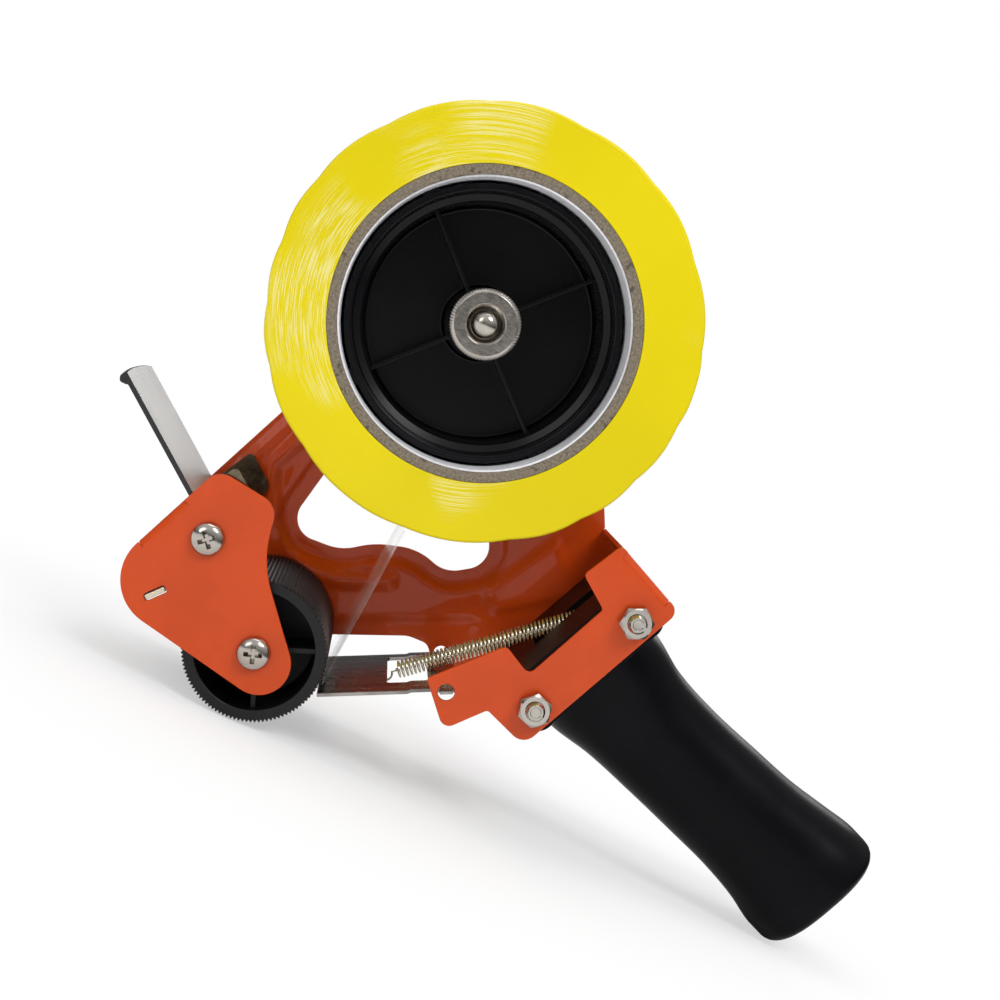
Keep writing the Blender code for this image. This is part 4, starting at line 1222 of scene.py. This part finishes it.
def screw_shape(node_name, centre, angle):
    """A cross-head screw, its head at whichever end is outside."""
    near, far = across(node_name)
    sign = -1 if near + far < 0 else 1
    top = sign * (far if sign > 0 else near) * sign
    head, tall, shank = 4.4, 2.8, 2.0
    steps = [(0.0, 0.0), (1.5, 0.03), (2.6, 0.22), (3.4, 0.55), (3.9, 0.95), (4.25, 1.5),
             (head, 2.1)]
    steps += [(head, tall - 0.15), (head - 0.15, tall), (shank, tall), (shank, 11.0), (0.0, 11.2)]
    profile = [(radius, top - sign * drop) for radius, drop in steps]
    if sign > 0:
        profile.reverse()
    bm = turned(profile, 56, centre)
    recess = bmesh.new()
    loops = []
    for long, thick, drop in ((5.2, 1.25, -0.3), (4.3, 1.0, 0.9), (2.6, 0.7, 1.9)):
        points = cross_outline(centre, long, thick, angle)
        loops.append(loop_edges(recess, points, top - sign * drop))
    for one, other in zip(loops, loops[1:]):
        bmesh.ops.bridge_loops(recess, edges=one + other)
    for loop in (loops[0], loops[-1]):
        bmesh.ops.contextual_create(recess, geom=loop)
    tidy(recess)
    return combined(bm, ("DIFFERENCE", recess))


class DISPENSER_OT_fasteners(bpy.types.Operator):
    """Handle bolts with their nuts, and the screws of the wheel and the wiper"""

    bl_idname = "dispenser.fasteners"
    bl_label = "Bolts, nuts and screws"

    def execute(self, context):
        nickel = finish("nickel plate")
        for name, spot, turn in (("lower", BOLTS[0], 7.0), ("upper", BOLTS[1], -12.0)):
            node_name = f"handle_bolt_{name}"
            piece(f"{name}_bolt", bolt_shape(node_name, spot), nickel, "root",
                  [node_name], 40.0)
            node_name = f"handle_nut_{name}"
            nut = hex_nut_shape(node_name, spot, 8.0, 5.2, GRIP_ANGLE + turn, False)
            piece(f"{name}_nut", nut, nickel, "root", [node_name], 30.0)
        for axle, spot, turn in (("wheel", WHEEL_AXIS, 18.0), ("wiper", WIPER_AXIS, 40.0)):
            for side in ("near", "far"):
                node_name = f"{axle}_screw_{side}"
                shape = screw_shape(node_name, spot, turn)
                piece(f"{axle}_{side}_screw", shape, nickel, "root", [node_name],
                      32.0)
        return {"FINISHED"}


# Wheel


def wheel_shape():
    size = sizes()
    outer, half = size["wheel"] / 2, 25.0
    rim, boss = 15.6, 6.5
    profile = filleted([
        (outer, -half, 0.35),
        (outer, half, 0.35),
        (rim, half, 0.4),
        (rim - 0.3, 6.0, 0.8),
        (boss + 0.4, 6.0, 0.8),
        (boss, half - 0.4, 0.4),
        (3.8, half - 0.4, 0.2),
        (3.8, 0.4 - half, 0.2),
        (boss, 0.4 - half, 0.4),
        (boss + 0.4, -6.0, 0.8),
        (rim - 0.3, -6.0, 0.8),
        (rim, -half, 0.4),
    ], 0.45)
    bm = turned(profile, 220, WHEEL_AXIS, ring=True)
    toothed(bm, WHEEL_AXIS, 110, outer - 0.5, size["tooth"])
    ribs = prism([cross_outline(WHEEL_AXIS, 2 * rim + 1.0, 1.2, 22.0)], 3.0 - half, half - 3.0)
    bore = turned([(0.0, -30.0), (4.6, -30.0), (4.6, 30.0), (0.0, 30.0)], 40, WHEEL_AXIS)
    ribs = combined(ribs, ("DIFFERENCE", bore))
    return combined(bm, ("UNION", ribs))


class DISPENSER_OT_wheel(bpy.types.Operator):
    """Toothed wheel that the tape lies on"""

    bl_idname = "dispenser.wheel"
    bl_label = "Toothed wheel"

    def execute(self, context):
        wheel = wheel_shape()
        piece("ridged_wheel", wheel, finish("black wheel rubber"), "wheel",
              ["toothed_wheel"])
        return {"FINISHED"}


# Wiper

WIPER_ANGLE = 142.7
WIPER_OFFSET = -1.2
WIPER_LENGTH = 48.0
WIPER_ROOT = 5.4


def flap_point(forward, left=0.0):
    return along(WIPER_AXIS, WIPER_ANGLE, forward, WIPER_OFFSET + left)


def flap_shape():
    """The flap: a strip with a bead under its tip, which bows outwards a little in the middle."""
    near, far = across("wiper_flap")
    half_sheet, tip = 0.65, WIPER_LENGTH
    corners = [(WIPER_ROOT, -half_sheet, 0.2), (tip - 0.2, -half_sheet, 0.4), (tip, 0.1, 0.4)]
    corners += [(tip - 0.1, 1.3, 0.7), (tip - 1.4, 2.15, 0.8), (tip - 2.8, 1.2, 0.7)]
    corners += [(tip - 3.2, half_sheet, 0.4), (WIPER_ROOT, half_sheet, 0.2)]
    outline = [flap_point(forward, left) for forward, left in filleted(corners, 0.25)]
    bm = prism([outline], near, far)
    for step in range(1, 24):
        spot = (0.0, near + (far - near) * step / 24, 0.0)
        geom = bm.verts[:] + bm.edges[:] + bm.faces[:]
        bmesh.ops.bisect_plane(bm, geom=geom, dist=1e-5, plane_co=spot, plane_no=(0, 1, 0))
    ahead = direction(WIPER_ANGLE)
    for vert in bm.verts:
        arm = Vector((vert.co.x, vert.co.z)) - WIPER_AXIS
        share = max(0.0, (arm.dot(ahead) - 20.0) / (tip - 20.0))
        edge = abs(2 * (vert.co.y - near) / (far - near) - 1) ** 2.5
        vert.co.x -= ahead.x * edge * share * 0.9
        vert.co.z -= ahead.y * edge * share * 0.9
    upper = Vector((ahead.y, 0.0, -ahead.x))
    bm.normal_update()
    for face in bm.faces:
        face.material_index = int(face.normal.dot(upper) > 0.9)
    return bm


class DISPENSER_OT_wiper(bpy.types.Operator):
    """Wiper flap, with the finish of the steel carrier, rivets and spacer that hold it"""

    bl_idname = "dispenser.wiper"
    bl_label = "Wiper"

    def execute(self, context):
        looks = [finish("black flap edge"), finish("wiper flap face")]
        piece("wiper_blade", flap_shape(), looks, "wiper", ["wiper_flap"], 30.0)
        paint_node("wiper_carrier", "dark bracket plate")
        paint_node("wiper_spacer", "nickel plate")
        paint_node("wheel_axle", "nickel plate")
        for index in (1, 2, 3):
            paint_node(f"wiper_rivet_{index}", "nickel plate")
        return {"FINISHED"}


def paint_node(name, material):
    """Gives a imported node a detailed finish."""
    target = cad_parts[name]
    if not target.material_slots:
        raise RuntimeError(f"{name} has no material slot")
    for slot in target.material_slots:
        slot.material = finish(material)


# Cutter, tension plate and springs


def blade_carrier_shape():
    near, far = across("blade_carrier")
    centre = BLADE_CENTRE
    half = sizes()["inside"] / 2 - 0.3
    bm = rounded(box(centre, BLADE_ANGLE, 13.0, 1.4, -half, half), 0.25)
    tabs = rounded(box(centre, BLADE_ANGLE, 5.4, 1.38, near, far), 0.3, 3)
    return combined(bm, ("UNION", tabs))


def plate_point(forward, left=0.0):
    return along(PLATE_AXIS, PLATE_ANGLE, forward, left)


PLATE_PATH = [(-3.0, 0.0), (1.5, 0.0), (2.6, -0.35), (9.0, -0.35), (10.2, 0.0), (33.6, 0.0)]


def tension_plate_shape():
    """The tension plate: a jogged sheet with a window, a hook hole and a tab at each side."""
    half = sizes()["inside"] / 2 - 0.6
    thick = 1.0
    upper = [plate_point(a, b + thick / 2) for a, b in PLATE_PATH]
    lower = [plate_point(a, b - thick / 2) for a, b in reversed(PLATE_PATH)]
    bm = rounded(prism([upper + lower], -half, half), 0.16, 2, 50.0)
    near, far = across("tension_plate")
    tabs = rounded(box(PLATE_AXIS, PLATE_ANGLE, 3.4, 0.96, near, far), 0.2)
    hole = rounded(flat_cut(4.5, 15.4, -15.0, 21.5, 6.0), 1.0, 3, 80.0)
    hook = bmesh.new()
    spot = plate_point(17.5)
    turn = Matrix.Translation((spot.x, 0.0, spot.y)) @ Matrix.Rotation(-math.radians(PLATE_ANGLE),
                                                                       4, "Y")
    bmesh.ops.create_cone(hook, cap_ends=True, segments=32, radius1=1.1, radius2=1.1, depth=6.0,
                          matrix=turn)
    return combined(bm, ("UNION", tabs), ("DIFFERENCE", hole), ("DIFFERENCE", hook))


def flat_cut(start, end, near, far, deep):
    return box(plate_point((start + end) / 2), PLATE_ANGLE, end - start, deep, near, far)


def tension_spring_points():
    """Hook, coils and the loop round the upper bolt."""
    size = sizes()
    thick = size["wire"]
    coil = (size["spring"] - thick) / 2
    hook = 1.8
    low = plate_point(15.9)
    bolt = BOLTS[1]
    high_loop = 2.5 + 0.35 + thick / 2
    span = bolt - low
    angle = math.degrees(math.atan2(span.y, span.x))
    begin, stop = hook + 1.3, span.length - high_loop - 1.3
    points = [(hook * math.cos(a), 0.0,
               hook * math.sin(a)) for a in np.radians(np.linspace(-155, 0, 14))]
    count = SPRING_TURNS * 16
    for index in range(count + 1):
        phase = math.tau * index / 16
        ease = min(1.0, index / 10, (count - index) / 10)
        forward = begin + (stop - begin) * index / count
        points.append((forward, coil * ease * math.sin(phase), coil * ease * math.cos(phase)))
    loop = np.radians(np.linspace(180, 350, 16))
    points += [(span.length + high_loop * math.cos(a), 0.0, high_loop * math.sin(a)) for a in loop]
    for forward, side, up in points:
        flat = along(low, angle, forward, up)
        yield (flat.x, side, flat.y)


class DISPENSER_OT_tension(bpy.types.Operator):
    """Tension plate, the spring that pulls it up, and the saw-toothed cutter"""

    bl_idname = "dispenser.tension"
    bl_label = "Tension plate and cutter"

    def execute(self, context):
        steel = finish("bare steel")
        piece("jogged_plate", tension_plate_shape(), steel, "plate",
              ["tension_plate"], 30.0)
        shape = tube(list(tension_spring_points()), sizes()["wire"], 1)
        coil = piece("tension_coil", shape, finish("yellow zinc"), None,
                     ["tension_spring"], 60.0, False)
        low, bolt = plate_point(19.0), BOLTS[1]
        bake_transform(coil)
        piece("blade_holder", blade_carrier_shape(), finish("yellow zinc"), "root",
              ["blade_carrier"], 30.0)
        paint_node("cutter_blade", "blade steel")
        return {"FINISHED"}


# Film


class DISPENSER_OT_film(bpy.types.Operator):
    """Clear stretch of tape from the roll to the wheel"""

    bl_idname = "dispenser.film"
    bl_label = "Free tape"

    def execute(self, context):
        half = sizes()["tape"] / 2
        low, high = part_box("tape_end")
        top_x, low_x = (high.x - ROLL.x) / MM - 0.3, (low.x - ROLL.x) / MM
        top_z, low_z = (high.z - ROLL.z) / MM, (low.z - ROLL.z) / MM
        line = [Vector((top_x, top_z)), Vector((low_x + 0.02, low_z + 2.5)), Vector((low_x, low_z))]
        outline = line + [spot + Vector((0.08, 0.0)) for spot in reversed(line)]
        bm = prism([outline], -half, half)
        piece("clear_tape", bm, finish("clear film"), "root", ["tape_end"])
        return {"FINISHED"}


# Grip

GRIP_STATIONS = (
    (-1.0, 1.0, 19.5, 22.0),
    (6.0, 1.2, 19.4, 19.0),
    (18.0, 1.4, 17.2, 16.0),
    (34.0, 2.4, 16.4, 15.2),
    (50.0, 4.0, 16.6, 15.6),
    (64.0, 5.4, 17.0, 16.0),
    (76.0, 6.6, 18.4, 16.6),
    (85.0, 7.0, 19.9, 17.6),
    (89.5, 7.2, 19.9, 17.8),
    (93.0, 7.4, 17.0, 15.0),
)


def grip_stations(count=64):
    """The stations, with smooth ones between them and a rounded butt."""
    table = np.array(GRIP_STATIONS[:-1])
    forward = np.concatenate([np.linspace(-1.0, 89.5, count)])
    slopes = np.gradient(table[:, 1:], table[:, 0], axis=0)
    for place in forward:
        index = min(len(table) - 2, int(np.searchsorted(table[:, 0], place, "right")) - 1)
        wide = table[index + 1, 0] - table[index, 0]
        t = (place - table[index, 0]) / wide
        a, b = table[index, 1:], table[index + 1, 1:]
        fit = (1 + 2 * t) * (1 - t) ** 2 * a + t * (1 - t) ** 2 * wide * slopes[index]
        fit += t * t * (3 - 2 * t) * b + t * t * (t - 1) * wide * slopes[index + 1]
        fit[1:] = np.minimum(fit[1:], np.maximum(a[1:], b[1:]))
        yield (place, fit[0], fit[1] * 0.985, fit[2])
    centre, high, wide = table[-1, 1:]
    for degrees in range(15, 91, 15):
        turn = math.radians(degrees)
        inset = 3.4 * (1 - math.cos(turn))
        yield (89.5 + 3.2 * math.sin(turn), centre + 0.05, 0.985 * high - inset, wide - inset)


def superellipse(high, wide, power=2.6, count=72):
    for index in range(count):
        turn = math.tau * index / count
        c, s = math.cos(turn), math.sin(turn)
        up = math.copysign(abs(c) ** (2 / power), c) * high
        yield up, math.copysign(abs(s) ** (2 / power), s) * wide


def grip_shape():
    bm = bmesh.new()
    loops = []
    for forward, centre, high, wide in grip_stations():
        spots = [(grip_point(forward, centre + up), side) for up, side in superellipse(high, wide)]
        ring = [bm.verts.new((spot.x, side, spot.y)) for spot, side in spots]
        loops.append([bm.edges.new(pair) for pair in zip(ring, ring[1:] + ring[:1])])
    for one, other in zip(loops, loops[1:]):
        bmesh.ops.bridge_loops(bm, edges=one + other)
    for loop in (loops[0], loops[-1]):
        cap = bmesh.ops.contextual_create(bm, geom=loop)["faces"]
    bmesh.ops.inset_region(bm, faces=cap, thickness=1.2, depth=0.0)
    bmesh.ops.inset_region(bm, faces=cap, thickness=0.8, depth=-0.8)
    tidy(bm)
    back, front, low, high = -14.2, 1.0, -21.5, 25.5
    ends = ((back, high), (front, high), (front, low), (back, low))
    outline = filleted([(*grip_point(*end), 5.0) for end in ends])
    head = rounded(prism([outline], -26.0, 26.0), 0.6)
    slot = box(grip_point(-8.1, 8.25), GRIP_ANGLE, 14.2, 29.5, -4.0, 4.0)
    pocket = box(grip_point(-9.5, -12.0), GRIP_ANGLE, 8.4, 7.0, -20.0, 20.0)
    return combined(bm, ("UNION", head), ("DIFFERENCE", slot), ("DIFFERENCE", pocket))


class DISPENSER_OT_grip(bpy.types.Operator):
    """Moulded grip, bolted between the sides of the frame"""

    bl_idname = "dispenser.grip"
    bl_label = "Grip"

    def execute(self, context):
        piece("moulded_grip", grip_shape(), finish("black grip plastic"), "root",
              ["handle_grip"], 42.0)
        return {"FINISHED"}


# Stage


def add_light(name, place, aim, size, power, color=(1.0, 1.0, 1.0)):
    data = bpy.data.lights.new(name, "AREA")
    data.shape = "DISK"
    data.size = size
    data.energy = power
    data.color = color
    made = bpy.data.objects.new(name, data)
    made.location = place
    made.rotation_euler = (Vector(aim) - Vector(place)).to_track_quat("-Z", "Y").to_euler()
    bpy.context.scene.collection.objects.link(made)


def studio_world():
    """White behind the object, and a soft room with darker sides in the reflections."""
    world = bpy.data.worlds.new("studio")
    bpy.context.scene.world = world
    world.use_nodes = True
    tree = world.node_tree
    tree.nodes.clear()
    ray = tree.nodes.new("ShaderNodeTexCoord").outputs["Generated"]
    facing = vector_calc(tree, "DOT_PRODUCT", i0=ray, i1=(-0.10, -0.22, 0.97))
    level = ramp(tree, facing["Value"], 0.05, 0.85, 0.09, 0.7)
    room = node(tree, "ShaderNodeBackground", None, Color=(1.0, 1.0, 1.0, 1.0), Strength=level)
    plain = node(tree, "ShaderNodeBackground", None, Color=(1.0, 1.0, 1.0, 1.0), Strength=1.0)
    seen = tree.nodes.new("ShaderNodeLightPath").outputs["Is Camera Ray"]
    mixed = node(tree, "ShaderNodeMixShader", None, i0=seen, i1=room.outputs[0],
                 i2=plain.outputs[0])
    out = tree.nodes.new("ShaderNodeOutputWorld")
    tree.links.new(mixed.outputs[0], out.inputs["Surface"])


CAMERA_PLACE = (-0.06318, -0.50380, 0.11480)
CAMERA_FORWARD = (0.09368, 0.99322, -0.06888)
CAMERA_ROLL = -25.172
CAMERA_LENS = 67.28
CAMERA_SENSOR = 36.0


def add_camera():
    data = bpy.data.cameras.new("camera")
    data.lens = CAMERA_LENS
    data.sensor_width = CAMERA_SENSOR
    data.clip_start = 0.01
    data.clip_end = 50.0
    camera = bpy.data.objects.new("camera", data)
    level = Vector(CAMERA_FORWARD).to_track_quat("-Z", "Y").to_matrix().to_4x4()
    roll = Matrix.Rotation(math.radians(-CAMERA_ROLL), 4, "Z")
    camera.matrix_world = Matrix.Translation(CAMERA_PLACE) @ level @ roll
    bpy.context.scene.collection.objects.link(camera)
    bpy.context.scene.camera = camera


class DISPENSER_OT_stage(bpy.types.Operator):
    """Pale floor, soft light and the camera"""

    bl_idname = "dispenser.stage"
    bl_label = "Stage"

    def execute(self, context):
        bm = bmesh.new()
        bmesh.ops.create_grid(bm, x_segments=8, y_segments=8, size=6.0)
        floor = bpy.data.objects.new("floor", as_mesh(bm, "floor"))
        context.scene.collection.objects.link(floor)
        floor.data.materials.append(finish("pale floor"))
        target = (-0.01, 0.0, 0.08)
        add_light("key", (0.25, -0.75, 0.95), target, 0.5, 5.0)
        add_light("front", (-0.75, -0.95, 0.45), target, 0.6, 1.7)
        add_light("top", (-0.2, 0.15, 1.2), target, 0.8, 3.4)
        add_light("back", (0.3, 1.1, 0.6), target, 0.8, 3.6)
        studio_world()
        add_camera()
        context.scene.view_settings.view_transform = "Standard"
        return {"FINISHED"}


class DISPENSER_PT_panel(bpy.types.Panel):
    """Sizes, finishes and the pieces of the dispenser"""

    bl_idname = "DISPENSER_PT_panel"
    bl_label = "Dispenser"
    bl_space_type = "VIEW_3D"
    bl_region_type = "UI"
    bl_category = "Dispenser"

    def draw(self, context):
        layout = self.layout
        for group_name in ("dispenser_sizes", "dispenser_finishes"):
            group = getattr(context.scene, group_name)
            column = layout.column(align=True)
            for key in group.__annotations__:
                column.prop(group, key)
        for operator in OPERATORS:
            layout.operator(operator.bl_idname)


OPERATORS = (
    DISPENSER_OT_frame,
    DISPENSER_OT_roll,
    DISPENSER_OT_hub,
    DISPENSER_OT_fasteners,
    DISPENSER_OT_wheel,
    DISPENSER_OT_wiper,
    DISPENSER_OT_tension,
    DISPENSER_OT_film,
    DISPENSER_OT_grip,
    DISPENSER_OT_stage,
)
CLASSES = (DISPENSER_PG_sizes, DISPENSER_PG_finishes, *OPERATORS, DISPENSER_PT_panel)


def register():
    for item in CLASSES:
        bpy.utils.register_class(item)
    bpy.types.Scene.dispenser_sizes = PointerProperty(type=DISPENSER_PG_sizes)
    bpy.types.Scene.dispenser_finishes = PointerProperty(type=DISPENSER_PG_finishes)


def unregister():
    del bpy.types.Scene.dispenser_finishes
    del bpy.types.Scene.dispenser_sizes
    for item in reversed(CLASSES):
        bpy.utils.unregister_class(item)


def main():
    register()
    make_materials()
    for operator in OPERATORS:
        name = operator.bl_idname.split(".")[1]
        getattr(bpy.ops.dispenser, name)()


if __name__ == "__main__":
    main()
